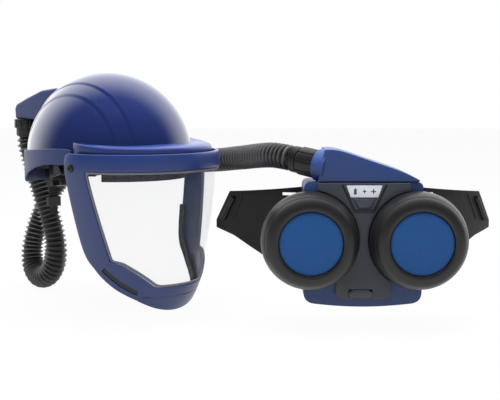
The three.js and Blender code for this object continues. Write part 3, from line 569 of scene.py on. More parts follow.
def add_hose():
    """Rings along the route, RIB_STEPS to a rib; the crest value tells the material where ribs are high,
    where it paints its crest highlight.
    """
    line = hose_path()
    length = np.linalg.norm(np.diff(line, axis=0), axis=1).sum()
    count = int(length / HOSE["pitch"]) * RIB_STEPS + 1
    line = resample(line, count)
    ways = np.gradient(line, axis=0)
    ways /= np.linalg.norm(ways, axis=1)[:, None]
    side = frame_of(ways[0])[1]
    rings = np.zeros((count, HOSE_FACETS, 3))
    swell = np.zeros(count)
    for i in range(count):
        side = side - ways[i] * (side @ ways[i])
        side /= np.linalg.norm(side)
        swell[i] = 0.5 + 0.5 * math.cos(2 * math.pi * i / RIB_STEPS)
        radius = HOSE["outer"] - HOSE["depth"] * (1 - swell[i] ** HOSE["sharpness"])
        rings[i] = line[i] + circle(radius, side, np.cross(ways[i], side), HOSE_FACETS)
    hose = part("breathing_hose", bar(rings), WORLD, sharp=80)
    crest = hose.data.attributes.new("crest", "FLOAT", "POINT")
    crest.data.foreach_set("value", np.repeat(swell, HOSE_FACETS))
    return hose, line * MM


hose, hose_line = add_hose()


def add_hose_ends():
    down = (0, 0, -1)
    port = (DUCT_END[0], 0, DUCT_END[1] - GAP)
    bore, outer = HOSE["bore"], HOSE["cuff"]
    inner = outer - 2
    cuff = rounded_ring(bore, outer, 0, CUFF_LENGTH, 1.5)
    first = part("hose_cuff_helmet", turned(cuff, port, down), HELMET)
    ring = rounded_ring(outer + GAP, COLLAR["outer"], 0, COLLAR["length"], 1.4)
    part("hose_collar", turned(ring, port, down, 144, 12, 0.9, 0.3), HELMET)
    way, half = outlet_way(), OUTLET["length"] / 2
    nut = rounded_ring(inner + GAP, OUTLET["nut"], -half, half, 2.2, 6)
    part("hose_coupling", turned(nut, OUTLET_SPOT, way, 192, 9, 1.5, 0.22), FAN)
    sleeve = [(bore, 2 - half), (inner, 2 - half), (inner, half + 1), (outer - 1, half + 1),
              (outer, half + 2), (outer, CUFF_BACK - 1.5), (outer - 1.5, CUFF_BACK), (bore, CUFF_BACK)]
    second = part("hose_cuff_unit", turned(sleeve, OUTLET_SPOT, way), FAN)
    return first, second


cuffs = add_hose_ends()


# ---- helmet shell and its trim
# The raised crown's two steps: how high each is, and the distances from the middle where it falls off.
CROWN = ((2.2, 67, 70.5), (2.0, 49.5, 53))
BAND = dict(room=2.5, wall=2.5, front=30, rounding=1.1, points=200)
DUCT = dict(bore=7, overrun=6, half=15.5, rounding=5)
DUCT_SIDE = [(-84, DUCT_END[1]), (-84, 86), (-104, 96), (-137, 92.5), (-172, 81), (-196, 72), (-200, 66),
             (-199, DUCT_END[1])]
DUCT_ROUTE = [(-88, 0, 62), (-118, 0, 73), (-147, 0, 76), (-170, 0, 72), (DUCT_END[0] + 3, 0, 62),
              (DUCT_END[0], 0, DUCT_END[1])]


def shell_rise(y):
    return sum(rise * (1 - smooth_step(np.abs(y), start, end)) for rise, start, end in CROWN)


def dome_grid(inset, rows, columns):
    """Points of the shell's outside, or of a smooth dome set in from it, in rows from side to side."""
    y = np.asarray(rows) * (SHELL["half"] - inset)
    rise = shell_rise(y) if inset == 0 else np.zeros_like(y)
    shrink = np.sqrt(np.clip(1 - np.asarray(rows) ** 2, 0, 1))
    angle = np.linspace(0, math.pi, columns)
    points = np.zeros((len(y), columns, 3))
    points[:, :, 0] = SHELL["centre"] + np.outer((SHELL["length"] - inset + rise) * shrink, np.cos(angle))
    points[:, :, 1] = y[:, None]
    points[:, :, 2] = np.outer((SHELL["height"] - inset + rise) * shrink, np.sin(angle))
    return points


def shell_rows():
    """Rows across the shell as shares of its half width, closer together at the crown's two steps."""
    rows = set(np.round(np.sin(np.radians(np.arange(-90, 90.1, 1.5))) * SHELL["half"], 4))
    for first, last in ((48, 55), (65.5, 71.5)):
        rows = {y for y in rows if not first - 0.4 < abs(y) < last + 0.4}
        steps = np.arange(first, last + 0.01, 0.5)
        rows |= set(np.round(steps, 4)) | set(np.round(-steps, 4))
    return np.array(sorted(rows)) / SHELL["half"]


def pivot_holes(radius):
    return [cylinder(radius, (PIVOT_X, side * 60, PIVOT_Z), (PIVOT_X, side * 140, PIVOT_Z), HELMET)
            for _, side in SIDES]


def add_shell():
    rows = shell_rows()
    outer, inner = dome_grid(0, rows, 160), dome_grid(SHELL["wall"], rows, 160)
    shell = settle("helmet_shell", *slab(outer, inner), HELMET, sharp=60)
    port = cylinder(14, (-80, 0, 58), (-140, 0, 80), HELMET)
    stands(combine(shell, [port, *pivot_holes(9.3)]))


def add_rear_band():
    centre, count = SHELL["centre"], BAND["points"]
    length, half = SHELL["length"] + BAND["room"] + GAP, SHELL["half"] + GAP
    start = math.acos((BAND["front"] - centre) / (length + BAND["wall"]))
    angles = np.linspace(start, 2 * math.pi - start, count)
    x = centre + length * np.cos(angles)
    top = np.interp(-x, [-30, 0, 30, 70, 150], [18, 18, 16, 13, 8])
    low = np.interp(-x, [-30, 0, 20, 42, 66, 92, 110, 150], [-2.5, -2.8, -4, -9, -17, -30, -35, -38])
    from_end = np.minimum(np.arange(count), count - 1 - np.arange(count)) / 5
    ease = 0.8 + 0.2 * np.sqrt(1 - (1 - np.minimum(from_end, 1)) ** 2)
    middle = (top + low) / 2
    top, low = middle + (top - middle) * ease, middle + (low - middle) * ease
    points = []
    for i, a in enumerate(angles):
        section = strip_outline(top[i] - low[i], 0, BAND["wall"], BAND["rounding"])
        points.append([(centre + (length + grow) * math.cos(a), (half + grow) * math.sin(a), low[i] + up)
                       for up, grow in section])
    part("rear_band", bar(points), HELMET)


def duct_bore():
    """The air passage, which runs on past both ends of the duct so that it cuts right through."""
    line = catmull(DUCT_ROUTE, 0.5)
    ways = np.gradient(line, axis=0)
    before = line[0] - ways[0] / np.linalg.norm(ways[0]) * DUCT["overrun"]
    after = line[-1] + ways[-1] / np.linalg.norm(ways[-1]) * DUCT["overrun"]
    line = resample(np.concatenate([[before], line, [after]]), 60)
    side = np.array([0, 1.0, 0])
    rings = [spot + circle(DUCT["bore"], side, np.cross(way / np.linalg.norm(way), side), 64)
             for spot, way in zip(line, np.gradient(line, axis=0))]
    return tool(bar(rings), HELMET)


def add_rear_duct():
    wedge = settle("rear_air_duct", *prism(DUCT_SIDE, -DUCT["half"], DUCT["half"]), HELMET)
    duct = soften(wedge, DUCT["rounding"], 5, 15)
    rows = shell_rows()
    outside = dome_grid(0, rows, 96) * [1, 1.003, 1] + [0, 0, 0.01]
    dome = tool(slab(outside, dome_grid(60, rows, 96)), HELMET)
    stands(combine(duct, [duct_bore(), dome]))


add_shell()
add_rear_band()
add_rear_duct()


# ---- visor
LENS_WALL = 1.6
FRAME = dict(top=13.5, corner=37, rear=29, shoulder=4, rounding=1.3)
CHIN = dict(half=55, top=-173.5)
WINDOW = dict(top=-8, side=66, corner=82, cornerHalf=80, cornerZ=-127, low=-160, lowHalf=42)
VENT = [(66, -139), (86, -158), (103, -170), (106, -164), (90, -151), (72, -134)]
COUNTS = (70, 10, 70, 50, 8, 30)  # points in each run of the outer edge, matched by the window's


def visor_levels(z):
    """How far down its drop the visor is at a height, and the ball's radius there above the pivot."""
    down = np.clip((PIVOT_Z - z) / VISOR["drop"], 0, 1)
    return down, np.sqrt(VISOR["radius"] ** 2 - np.maximum(z - PIVOT_Z, 0) ** 2)


def visor_front(z):
    t, ball = visor_levels(z)
    return np.where(z > PIVOT_Z, ball, VISOR["radius"] * (1 - t ** 2.5) ** (1 / 2.5))


def visor_half(z):
    t, ball = visor_levels(z)
    taper = 0.46 * t * t / (t + 0.12)
    return np.where(z > PIVOT_Z, ball, VISOR["radius"] * (1 - taper) * (1 - t ** 6) ** (1 / 6))


def visor_spot(angle, z, inset):
    return np.stack([PIVOT_X + np.cos(angle) * (visor_front(z) - inset),
                     np.sin(angle) * (visor_half(z) - inset), z + 0 * angle], -1)


def angle_at_x(x, z):
    return np.arccos(np.clip((x - PIVOT_X) / visor_front(z), -1, 1))


def angle_at_y(y, z):
    return np.arcsin(np.clip(y / visor_half(z), -1, 1))


EDGE = catmull([(30, -12), (39, -108), (55, -138), (76, -160), (102, -179), (118, -197)], 0, 60)
EDGE_Y = np.sin(angle_at_x(EDGE[:, 0], EDGE[:, 1])) * visor_half(EDGE[:, 1])


def run(reader, points, number):
    """One run of an edge as (angle, z), from its (x, z) or (y, z) points."""
    points = resample(points, COUNTS[number])
    return np.stack([reader(points[:, 0], points[:, 1]), points[:, 1]], 1)


def top_run(start, z):
    return np.stack([np.linspace(0, start, COUNTS[0]), np.full(COUNTS[0], z)], 1)


def side_run(y, z, start, end):
    """The long side edge, where an angle can't be read from y alone beside the pivot."""
    spots = np.linspace(start, end, COUNTS[2])
    index = np.arange(len(z))
    high, across = np.interp(spots, index, z), np.interp(spots, index, y)
    return np.stack([angle_at_y(across, high), high], 1)


def frame_outline():
    """The frame's outer edge from the top middle to the bottom middle, as (angle, z)."""
    top, corner, rear, shoulder = (FRAME[key] for key in ("top", "corner", "rear", "shoulder"))
    split = int(np.argmax(EDGE[:, 1] < -108))
    last = int(np.argmax((EDGE_Y < CHIN["half"] + GAP) & (EDGE[:, 1] < -150)))
    chin_top, chin_side = CHIN["top"] + GAP, CHIN["half"] + GAP
    return [
        top_run(angle_at_x(corner, top), top),
        run(angle_at_x, quadratic((corner, top), (rear, top), (rear, shoulder)), 1),
        run(angle_at_x, np.concatenate([[(rear, shoulder)], EDGE[:split]]), 2),
        run(angle_at_x, EDGE[split - 1:last + 1], 3),
        run(angle_at_y, [(chin_side, EDGE[last, 1]), (chin_side, chin_top)], 4),
        run(angle_at_y, [(chin_side, chin_top), (0, chin_top)], 5),
    ]


def window_sides(grow):
    """The window's side edge as y over z, and the height where its slanted lower edge takes over."""
    w = WINDOW
    z = np.linspace(w["top"] + grow, w["low"] - grow, 600)
    x = np.interp(-z, [-w["top"] - grow, -w["cornerZ"]], [w["side"] - grow, w["corner"] - grow])
    side = np.sin(angle_at_x(x, z)) * visor_half(z)
    slant = np.interp(-z, [-(w["cornerZ"] + 20 - grow), -(w["cornerZ"] - grow / 2), -(w["low"] - grow)],
                      [VISOR["radius"] + 20, w["cornerHalf"] + grow, w["lowHalf"] + 0.6 * grow])
    return z, np.minimum(side, slant), int(np.argmax(slant < side))


def window_outline(grow):
    """The window's edge, grown outwards, from the top middle to the bottom middle, as (angle, z)."""
    corner, foot = 4, 6
    z, y, cross = window_sides(grow)
    top, side = WINDOW["top"] + grow, WINDOW["side"] - grow
    under = int(np.argmax(z < top - corner))
    end = len(z) - 12
    low = z[-1]
    upper = quadratic((side + corner, top), (side, top), (side + 0.13 * corner, top - corner))
    lower = quadratic((y[end - 1], z[end - 1]), (y[-1], low), (y[-1] - foot, low))
    return [
        top_run(angle_at_x(side + corner, top), top),
        run(angle_at_x, upper, 1),
        side_run(y, z, under, cross),
        run(angle_at_y, np.stack([y, z], 1)[cross:end], 3),
        run(angle_at_y, lower, 4),
        run(angle_at_y, [(y[-1] - foot, low), (0, low)], 5),
    ]


def loop(parts):
    """Both halves of an edge as one closed line, lightly smoothed."""
    half = np.concatenate(parts)
    whole = np.concatenate([half, (half * [-1, 1])[::-1]])
    for _ in range(2):
        whole = (np.roll(whole, 1, 0) + 2 * whole + np.roll(whole, -1, 0)) / 4
    return whole


def visor_strip(outer, inner, near, far, radius):
    """A strip of visor wall between two loops of (angle, z)."""
    rows = []
    edges = [visor_spot(line[:, 0], line[:, 1], 0) for line in (outer, inner)]
    across = np.linalg.norm(edges[0] - edges[1], axis=1)
    for a, b, width in zip(outer, inner, across):
        section = np.array(strip_outline(width, near, far, radius))
        spots = a + (b - a) * section[:, :1] / width
        rows.append(visor_spot(spots[:, 0], spots[:, 1], section[:, 1]))
    return hoop(rows)


def visor_plate(angles, heights, near, far):
    """A plate of visor wall between two depths, from grids of angles and heights."""
    return slab(*(visor_spot(angles, heights, depth) for depth in (near, far)))


def vent_tool(side, shrink):
    middle = np.mean(VENT, axis=0)
    arms = np.array(VENT) - middle
    outline = middle + arms * (1 - 2 * shrink / np.linalg.norm(arms, axis=1))[:, None]
    low, high = (40, 200) if side > 0 else (-200, -40)
    return tool(prism(outline, low, high), HELMET)


def add_frame():
    ring = visor_strip(loop(frame_outline()), loop(window_outline(0)), 0, VISOR["wall"], FRAME["rounding"])
    made = settle("visor_frame", *ring, HELMET)
    cuts = [vent_tool(side, 0) for _, side in SIDES]
    stands(combine(made, cuts + pivot_holes(3.7)))


def add_gasket():
    lip = visor_strip(loop(window_outline(-GAP)), loop(window_outline(-GAP - 3)), 0.7, VISOR["wall"], 0.9)
    part("lens_gasket", lip, HELMET)


def add_lens():
    z, y, _ = window_sides(6)
    z, y = z[::8], y[::8]
    share = np.linspace(-1, 1, 90)
    angle = np.arcsin(np.clip(y / visor_half(z), -1, 1))
    angle[z > -60] = angle_at_x(60 + (-2 - z[z > -60]) * 16 / 119, z[z > -60])
    heights = np.repeat(z[:, None], len(share), 1)
    near = VISOR["wall"] + GAP
    plate = visor_plate(np.outer(angle, share), heights, near, near + LENS_WALL)
    part("visor_lens", plate, HELMET, sharp=60)


def add_chin():
    below = EDGE[:, 1] < -165
    across = np.linspace(-CHIN["half"], CHIN["half"], 81)
    floor = np.interp(np.abs(across), EDGE_Y[below][::-1], EDGE[below][::-1, 1])
    heights = CHIN["top"] + (floor - CHIN["top"]) * np.linspace(0, 1, 15)[:, None]
    angles = np.arcsin(np.clip(across / visor_half(heights), -1, 1))
    stands(soften(settle("chin_cover", *visor_plate(angles, heights, 0, VISOR["wall"]), HELMET), 1.1))


def add_exhale_covers():
    for name, side in SIDES:
        high = np.linspace(-128, -176, 24)[:, None]
        angles = side * np.linspace(0.5, 1.45, 30)[None, :]
        high, angles = np.broadcast_arrays(high, angles)
        plate = visor_plate(angles, high.astype(float), 1.2, VISOR["wall"] - GAP)
        cover = settle(f"exhale_cover_{name}", *plate, HELMET)
        stands(combine(cover, [vent_tool(side, GAP)], "INTERSECT"))


# ---- brow plate and pivots
# Degrees each way from the front, the plate's height over the pivots' line, its slope and what its
# ends droop, the distances of its rim and of its skirt's foot, and the radius of its edge.
BROW = dict(span=97, middle=34, slope=0.14, droop=9, rim=97, skirt=10.0, edge=3.4)


def brow_plane(x, droop):
    return BROW["middle"] - BROW["slope"] * (x - 41) - droop


def brow_root(way, droop, below):
    """How far from the pivots' axis the shell lies along a way, at or below the plate's plane."""
    steps = np.linspace(60, 104, 400)
    x, y = PIVOT_X + steps * way[0], steps * way[1]
    grow = shell_rise(y)
    z = brow_plane(x, droop) - below
    out = (((x - SHELL["centre"]) / (SHELL["length"] + grow + GAP)) ** 2 + (y / (SHELL["half"] + GAP)) ** 2
           + (z / (SHELL["height"] + grow + GAP)) ** 2)
    return steps[int(np.argmax(out > 1))]


def add_brow():
    """The plate meets the shell on its inside and stands over the visor's top, with a skirt at its rim."""
    reach = VISOR["radius"] - VISOR["wall"] - LENS_WALL - 2
    span, edge, skirt = BROW["span"], BROW["edge"], BROW["skirt"]
    rows = []
    for degrees in np.linspace(-span, span, 195):
        angle = math.radians(degrees)
        way = np.array([math.cos(angle), math.sin(angle)])
        droop = BROW["droop"] * smooth_step(abs(degrees), 5, span)
        near_top, near_low = (brow_root(way, droop, below) for below in (0, 3))
        rim = math.sqrt(reach ** 2 - (brow_plane(PIVOT_X + BROW["rim"] * way[0], droop) - PIVOT_Z) ** 2)
        fade = max(0.0, 1 - max(0.0, (abs(degrees) - 85) / 12.2) ** 2.6) ** 0.4
        rim = near_top + 1.5 + (rim - near_top - 1.5) * (0.2 + 0.8 * fade)
        section = [(near_low, -3), (near_top, 0)]
        for share in np.linspace(0.12, 0.8, 7):
            section.append((near_top + (rim - near_top) * share, 2.2 * math.sin(math.pi * share * 0.62)))
        for t in np.radians(np.linspace(0, 90, 7)):
            section.append((rim - edge + edge * math.sin(t), -2.2 + edge * math.cos(t)))

        def on_plane(r, up):
            return (PIVOT_X + r * way[0], r * way[1], brow_plane(PIVOT_X + r * way[0], droop) + up)

        points = [on_plane(r, up) for r, up in section]
        outer = rim + 0.6
        for r, z in ((outer, skirt + 1), (outer - 0.8, skirt), (outer - 2.6, skirt)):
            points.append((PIVOT_X + r * way[0], r * way[1], z))
        rows.append([*points, on_plane(rim - 3, -3)])
    part("brow_plate", bar(rows), HELMET, sharp=50)


def add_pivots():
    head = [(0.01, 0.9), (1.6, 0.9), (2.1, 1.2), (2.4, 2), (4.2, 2), (5, 1.5), (5.4, 0.8), (5.4, 0),
            (3.4, 0), (3.4, -20), (0.01, -20)]
    for name, side in SIDES:
        spot = (PIVOT_X, side * (VISOR["radius"] + GAP), PIVOT_Z)
        part(f"pivot_knob_{name}", turned(head, spot, (0, side, 0), 64), HELMET)


add_frame()
add_gasket()
add_lens()
add_chin()
add_exhale_covers()
add_brow()
add_pivots()


# ---- suspension, seen through the lens
HEAD = dict(centre=-5, length=98, half=78)
# The pad's inset from the band, its half thickness and half height, and its square section's power.
PAD = dict(inset=6.8, swell=2, front=47, thick=2.4, high=11.6, power=0.7)


def strap(name, line, normals, width, thickness, side, place):
    """A flat strap: its section is a rounded box carried along the line."""
    section = np.array(strip_outline(width, 0, thickness, thickness * 0.45))
    points = np.array([spot + (section[:, :1] - width / 2) * side + section[:, 1:] * (-normal)
                       for spot, normal in zip(line, normals)])
    return part(name, bar(points), place)


def add_crown_straps():
    angles = np.radians(np.linspace(-4, 184, 120))
    along, high = np.cos(angles), np.sin(angles)
    for name, reach, top, axis in (("crown_strap_long", 95.5, 88, 0), ("crown_strap_cross", 75.5, 85.9, 1)):
        spots, out = np.zeros((2, len(angles), 3))
        spots[:, axis], spots[:, 2] = reach * along, top * high
        out[:, axis], out[:, 2] = along / reach, high / top
        out /= np.linalg.norm(out, axis=1)[:, None]
        strap(name, spots + [HEAD["centre"], 0, 0], out, 19, 1.7, np.eye(3)[1 - axis], SUSPENSION)


def add_nape_strap():
    front = SHELL["centre"] - SHELL["length"] - BAND["room"] - GAP + 4 * GAP
    heights = np.linspace(-18, -88, 60)
    ripple = 0.25 * np.sin(heights * 1.6)
    line = np.stack([front + ripple + 2, 0 * heights, heights], 1)
    strap("nape_strap", line, np.tile([1.0, 0, 0], (60, 1)), 14, 2, np.array([0, 1.0, 0]), HELMET)


def add_brow_pad():
    """A soft forehead pad, crowned between its edges, with two pressed channels."""
    length, half = (HEAD[key] - PAD["inset"] - PAD["swell"] for key in ("length", "half"))
    limit = math.acos((PAD["front"] - HEAD["centre"]) / length)
    angles = np.linspace(-limit, limit, 140)
    section = np.radians(np.arange(0, 360, 12))
    waves = np.cos(section), np.sin(section)
    across_share, up_share = (np.sign(wave) * np.abs(wave) ** PAD["power"] for wave in waves)
    points = np.zeros((len(angles), len(section), 3))
    for i, angle in enumerate(angles):
        end = min(1, (limit - abs(angle)) / 0.09)
        end = math.sqrt(max(0.02, 1 - (1 - end) ** 2))
        tuck = 1 - 0.35 * math.exp(-((abs(angle) - 0.33) / 0.03) ** 2)
        across = across_share * PAD["thick"] * end * tuck
        points[i, :, 0] = HEAD["centre"] + (length + across) * math.cos(angle)
        points[i, :, 1] = (half + across) * math.sin(angle)
        points[i, :, 2] = up_share * PAD["high"] * end
    pad = part("brow_pad", bar(points), SUSPENSION, sharp=70)


def add_ratchet():
    rear = HEAD["centre"] - HEAD["length"] - GAP
    middle, face = -5.5, rear - 9 - GAP
    grip = rounded_ring(4, 17, 0, 13, 2.4, 6)
    knob = settle("ratchet_knob", *turned(grip, (face, 0, middle), (-1, 0, 0), 192, 16, 1.6, 0.5), SUSPENSION)
    pin = cylinder(4.2, (face - 11.5, 0, middle), (rear - 2 - GAP, 0, middle), SUSPENSION)
    stands(combine(knob, [pin], "UNION"))


add_crown_straps()
add_nape_strap()
add_brow_pad()
add_ratchet()

# ---- fan unit
BODY = dict(half=76, top=73.5, bottom=-88, side=-78, depth=62, split=30, corner=9)
FILTER = dict(x=69, pad=57, rear=45, flange=62.5, body=57.5, front=34, rim=45)
HOOD = dict(left=-58, right=71, front=-3, back=58)
HOOD_CREST = [(-50, 115), (-29, 113), (12, 99.5), (48, 87), (71, 76)]
FASCIA = dict(half=58.5, low=35, shoulder=40, top=72.5, foot=-76.5, chamfer=6)
FASCIA_FRONT = -8.3
DISPLAY = (70, 54.5, 23, 17.5)  # top, bottom, half width above and half width below
BUTTON = (52.5, 41, 13.5, 7.5)
LATCH = dict(left=-18.5, right=11.5, top=-64, bottom=-74.5)
HARNESS = dict(half=192, wall=4, flat=60, curl=0.004, face=62.3)
WING_SLOT = dict(x=92, half=9, low=49, high=53)


def fan_prism(name, outline, low, high, **settings):
    return settle(name, *prism(outline, low, high), FAN, **settings)


def fan_tool(outline, low, high):
    return tool(prism(outline, low, high), FAN)


def body_outline():
    half, top, side, bottom, corner = (BODY[k] for k in ("half", "top", "side", "bottom", "corner"))
    shoulder, belly = half - corner - 4, 30
    outline = [(-half, top - corner)]
    for start, middle, end, count, last in (
            ((-half, side + corner), (-half, side - 4), (-shoulder, side - 6), 14, False),
            ((-shoulder, side - 6), (-belly, bottom), (0, bottom), 18, False),
            ((0, bottom), (belly, bottom), (shoulder, side - 6), 18, False),
            ((shoulder, side - 6), (half, side - 4), (half, side + corner), 15, True),
            ((half, top - corner), (half, top), (half - corner, top), 14, False),
            ((-half + corner, top), (-half, top), (-half, top - corner), 14, False)):
        outline += quadratic(start, middle, end, count, last).tolist()
    return outline


def disc_tool(radius, side, low, high):
    outline = circle(radius, np.array([1, 0]), np.array([0, 1]), 120) + [side * FILTER["x"], 0]
    return fan_tool(outline, low, high)


def battery_slot():
    return box((-35.8, 12.1, -120), (35.8, 51.9, BODY["bottom"] + 14), FAN)


def add_housing():
    seam = BODY["split"]
    front = fan_prism("front_housing", body_outline(), 0, seam - 0.2)
    combine(front, [disc_tool(FILTER["pad"], side, 0.4, seam - 0.6) for _, side in SIDES], "UNION")
    soften(front, 2.2, 4, 50)
    combine(front, [battery_slot()])
    spigot = rounded_ring(26.5, 30, -1, 12, 0.8)
    rings = [tool(turned(spigot, (side * FILTER["x"], 0, 0), (0, -1, 0)), FAN) for _, side in SIDES]
    stands(combine(front, rings, "UNION"))

    rear, back = fan_prism("rear_housing", body_outline(), seam + 0.2, BODY["depth"]), BODY["depth"] - 0.4
    combine(rear, [disc_tool(FILTER["rear"], side, seam + 0.5, back) for _, side in SIDES], "UNION")
    soften(rear, 2.2, 4, 50)
    stands(combine(rear, [battery_slot()]))


def add_hood():
    foot = BODY["top"] + GAP
    line = [(HOOD["left"], foot), *catmull(HOOD_CREST, 0, 8).tolist(), (HOOD["right"], foot)]
    shell = soften(fan_prism("outlet_hood", line, HOOD["front"], HOOD["back"]), 2.6, 4, 30)
    face = -OUTLET["length"] / 2 - GAP

    def bore(radius, start, end):
        """A cylinder along the outlet, between two distances from its open face."""
        spots = (OUTLET_SPOT + outlet_way() * (face + distance) for distance in (start, end))
        return cylinder(radius, *spots, FAN)

    combine(shell, [bore(23, 0, 60)])
    combine(shell, [bore(20.5, -18, 0)], "UNION")
    combine(shell, [box((-130, -40, 60), (130, 90, foot), FAN), bore(13, -12, 1)])
    stands(shell)


def trapezoid(top, bottom, half, low, grow=0):
    return [(-low - grow, bottom - grow), (low + grow, bottom - grow), (half + grow, top + grow),
            (-half - grow, top + grow)]


def fascia_outline():
    half, low, shoulder, top, foot, chamfer = (
        FASCIA[key] for key in ("half", "low", "shoulder", "top", "foot", "chamfer"))
    right = [(low - chamfer, foot), (low, foot + chamfer), (low, -shoulder), (half, shoulder), (half, top)]
    return [(chamfer - low, foot), *right, *((-x, z) for x, z in right[:0:-1])]


def add_fascia():
    plate = fan_prism("centre_fascia", fascia_outline(), FASCIA_FRONT, -GAP)
    combine(plate, [disc_tool(FILTER["flange"] + 1, side, -12, 2) for _, side in SIDES])
    soften(plate, 1.6, 4, 40)
    latch = box((LATCH["left"] - GAP, -12, LATCH["bottom"] - GAP),
                (LATCH["right"] + GAP, FASCIA_FRONT + 5.3, LATCH["top"] + GAP), FAN)
    holes = [fan_tool(trapezoid(*shape, GAP), -12, FASCIA_FRONT + depth)
             for shape, depth in ((DISPLAY, 2.3), (BUTTON, 4.3))]
    stands(combine(plate, [*holes, latch]))


def add_controls():
    """The display with its dark rim, the key and the battery's latch."""
    rim = [(-29.5, 71), (-27, 71), (-11.5, 39.5), (11.5, 39.5), (27, 71), (29.5, 71),
           (13.5, 36.2), (11, 35), (-11, 35), (-13.5, 36.2)]
    bezel = fan_prism("display_surround", rim, FASCIA_FRONT - 0.7, FASCIA_FRONT + 1, slot="black_plastic")
    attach(soften(bezel, 0.5, 3, 30), body_of_node["centre_fascia"])

    left, right, top, bottom = (LATCH[key] for key in ("left", "right", "top", "bottom"))
    press = [(left, bottom), (right, bottom), (right, top - 3), (right - 6, top), (left + 6, top),
             (left, top - 3)]
    for name, outline, proud, depth, edge in (("display_window", trapezoid(*DISPLAY), 0, 2, 0.5),
                                              ("power_button", trapezoid(*BUTTON), 1.2, 3, 0.8),
                                              ("battery_latch", press, 1.5, 3, 0.9)):
        made = fan_prism(name, outline, FASCIA_FRONT - proud, FASCIA_FRONT + depth)
        stands(soften(made, edge, 3, 30))


def plus(cx, cz, arm, thick):
    corner, outline = [(-arm, -thick), (-thick, -thick), (-thick, -arm)], []
    for _ in range(4):
        outline += [(cx + x, cz + z) for x, z in corner]
        corner = [(-z, x) for x, z in corner]
    return outline


def add_icons():
    """Plain marks on the display and the key: a cell, a plus, a rotor and a triangle."""
    marks = [[(x0, z0), (x1, z0), (x1, z1), (x0, z1)]
             for x0, z0, x1, z1 in ((-13.4, 58.4, -9.8, 65), (-12.5, 65, -10.7, 66))]
    marks += [plus(0, 62.2, 2.4, 0.6), plus(11.4, 62.2, 3.1, 0.7)]
    for number, mark in enumerate(marks):
        made = fan_prism(f"display_mark_{number}", mark, FASCIA_FRONT - 0.12, FASCIA_FRONT + 0.5,
                         slot="button_grey")
        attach(made, body_of_node["display_window"])
    triangle = [(-2.8, 45), (2.8, 45), (0, 50)]
    made = fan_prism("button_mark", triangle, FASCIA_FRONT - 1.32, FASCIA_FRONT, slot="button_grey")
    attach(made, body_of_node["power_button"])


def filter_profiles():
    """Outlines of (radius, distance forward) for the canister, the holder and the pre-filter disc."""
    flange, body, front, rim = (FILTER[k] for k in ("flange", "body", "front", "rim"))
    shell = [(30.3, 2.6), (flange - 2.5, 2.6), (flange - 1, 3.2), (flange - 0.2, 4.5), (flange, 7),
             (flange, 14), (flange - 0.3, 18), (flange - 1.2, 23.5), (flange - 2.6, 28.5),
             (body + 0.7, 33), (body + 0.1, 33.8), (body - 0.2, front), (40, front), (40, 31),
             (53.5, 31), (53.5, 5.6), (30.3, 5.6)]
    holder = [(36, front + GAP), (36, 37.7), (40.3, 37.7), (40.3, 42.6), (40.8, 44), (42, 44.8),
              (44.5, rim), (47.5, 44.6), (50.6, 43.4), (53.4, 41.4), (55.6, 38.8), (57, 36),
              (57.4, front + 0.4), (57.2, front + GAP)]
    disc = [(0.01, 38), (39, 38), (39.8, 38.6), (40, 40), (39.7, 41.6), (38.6, 42.6), (36, 43.1),
            (20, 43.4), (0.01, 43.5)]
    return ("filter", shell, 42), ("prefilter_holder", holder, 42), ("prefilter", disc, 38)


def add_filters():
    for name, side in SIDES:
        for piece, profile, sharp in filter_profiles():
            round_piece = turned(profile, (side * FILTER["x"], 0, 0), (0, -1, 0), 160)
            part(f"{piece}_{name}", round_piece, FAN, sharp=sharp)


def wing_bend(x):
    """How far the wings stand back from the plate's flat middle."""
    return HARNESS["curl"] * np.maximum(0, np.abs(x) - HARNESS["flat"]) ** 2


def add_harness():
    half = HARNESS["half"]
    x = np.linspace(-half, half, 161)
    bend = wing_bend(x)
    top = np.interp(np.abs(x), [0, 72, half - 19, half], [59.5, 61.5, 50, 8])
    low = np.interp(np.abs(x), [0, 60, 117, half - 25, half], [-56, -56, -40, -11, -3])
    points = []
    for i in range(len(x)):
        section = strip_outline(top[i] - low[i], 0, HARNESS["wall"], 1.2)
        points.append([(x[i], HARNESS["face"] + depth + bend[i], low[i] + up) for up, depth in section])
    plate = settle("harness_plate", *bar(points), FAN)

    x, half, low, high = (WING_SLOT[key] for key in ("x", "half", "low", "high"))
    cuts = [box((side * x - half, 40, low), (side * x + half, 200, high), FAN) for side in (-1, 1)]
    cuts += [cylinder(4.3, (side * 52, 61, 48), (side * 52, 72, 48), FAN, 48) for side in (-1, 1)]
    combine(plate, cuts)
    ribs = []
    for side in (-1, 1):
        for radius, sink, facets, ends in ((3.5, 1.75, 48, ((168, 42), (183, 10))),
                                           (1.3, 0.2, 32, ((155, 46), (169, 12)))):
            spots = [(side * cx, HARNESS["face"] + wing_bend(cx) - sink, cz) for cx, cz in ends]
            ribs.append(cylinder(radius, *spots, FAN, facets))
    stands(combine(plate, ribs, "UNION"))


add_housing()
add_hood()
add_fascia()
add_controls()
add_icons()
add_filters()
add_harness()

# ---- carried CAD pieces
for name, carried in frame["nodes"].items():
    carried.data.materials.clear()
    carried.data.materials.append(FINISH[slot_of_node[name]])

# ---- floor, backdrop and light
FLOOR = dict(height=-0.2115, half=6, grey=0.4, glow=0.96)
WORLD_LIGHT = 0.32
# World strength in reflections, in front of the object and behind it, and the directions between.
REFLECTED = (0.08, 1.7)
REFLECTED_FROM = (-0.15, 0.55)
LAMPS = (
    ("key", (-0.9, -1.5, 1.5), (2.0, 1.5), 8, (0.1, 0, 0)),
    ("top", (0.2, -0.1, 1.8), (2.4, 1.6), 150, (0.15, 0, 0)),
    ("fill", (1.5, -1.3, 0.6), (1.3, 1.4), 4, (0.15, -0.05, -0.05)),
)


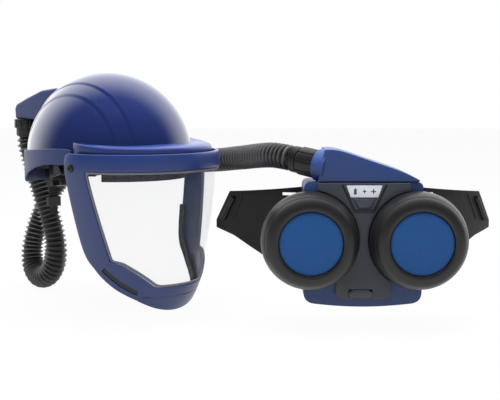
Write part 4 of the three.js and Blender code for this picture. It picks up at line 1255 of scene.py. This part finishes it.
def floor_material():
    """White where the camera, a reflection or a clear piece shows it, and it keeps a soft shadow."""
    made = bpy.data.materials.new("floor_white")
    made.use_nodes = True
    made.node_tree.nodes.clear()
    nodes = Nodes(made.node_tree)
    path = nodes.node("ShaderNodeLightPath").outputs
    clear = nodes.math("MAXIMUM", path["Is Glossy Ray"], path["Is Transmission Ray"])
    seen = nodes.math("MAXIMUM", path["Is Camera Ray"], clear)
    share = nodes.math("MULTIPLY", seen, FLOOR["glow"])
    plain = nodes.node("ShaderNodeBsdfDiffuse", {"Color": (*[FLOOR["grey"]] * 3, 1)}).outputs[0]
    lit = nodes.node("ShaderNodeEmission", {"Strength": 1}).outputs[0]
    both = nodes.node("ShaderNodeMixShader", {0: share, 1: plain, 2: lit}).outputs[0]
    nodes.node("ShaderNodeOutputMaterial", {0: both})
    return made


def add_floor():
    half, height = FLOOR["half"], FLOOR["height"]
    mesh = bpy.data.meshes.new("floor")
    corners = [(-half, -half, height), (half, -half, height), (half, half, height), (-half, half, height)]
    mesh.from_pydata(corners, [], [(0, 1, 2, 3)])
    floor = bpy.data.objects.new("floor", mesh)
    scene.collection.objects.link(floor)
    floor.data.materials.append(floor_material())


def add_world():
    """White to the camera and through clear pieces, plain light on the object, and its own reflections."""
    world = bpy.data.worlds.new("studio")
    scene.world = world
    world.use_nodes = True
    nodes = Nodes(world.node_tree)
    where = nodes.node("ShaderNodeTexCoord").outputs["Generated"]
    depth = nodes.node("ShaderNodeSeparateXYZ", {0: where}).outputs["Y"]
    behind = nodes.ramp(depth, *REFLECTED_FROM, *REFLECTED, interpolation_type="SMOOTHSTEP")
    path = nodes.node("ShaderNodeLightPath").outputs
    level = WORLD_LIGHT
    for kind, value in (("Is Glossy Ray", behind), ("Is Transmission Ray", 1.0), ("Is Camera Ray", 1.0)):
        level = nodes.node("ShaderNodeMix", {"Factor": path[kind], "A": level, "B": value}).outputs["Result"]
    ground = nodes.tree.nodes["Background"].inputs
    ground["Color"].default_value = (1, 1, 1, 1)
    nodes.tree.links.new(level, ground["Strength"])


def add_lamps():
    for name, spot, size, power, aim in LAMPS:
        lamp = bpy.data.lights.new(name, "AREA")
        lamp.shape = "RECTANGLE"
        lamp.size, lamp.size_y = size
        lamp.energy = power
        holder = bpy.data.objects.new(name, lamp)
        scene.collection.objects.link(holder)
        holder.location = spot
        holder.visible_glossy = False
        way = Vector(aim) - Vector(spot)
        holder.rotation_euler = way.to_track_quat("-Z", "Y").to_euler()


add_floor()
add_world()
add_lamps()
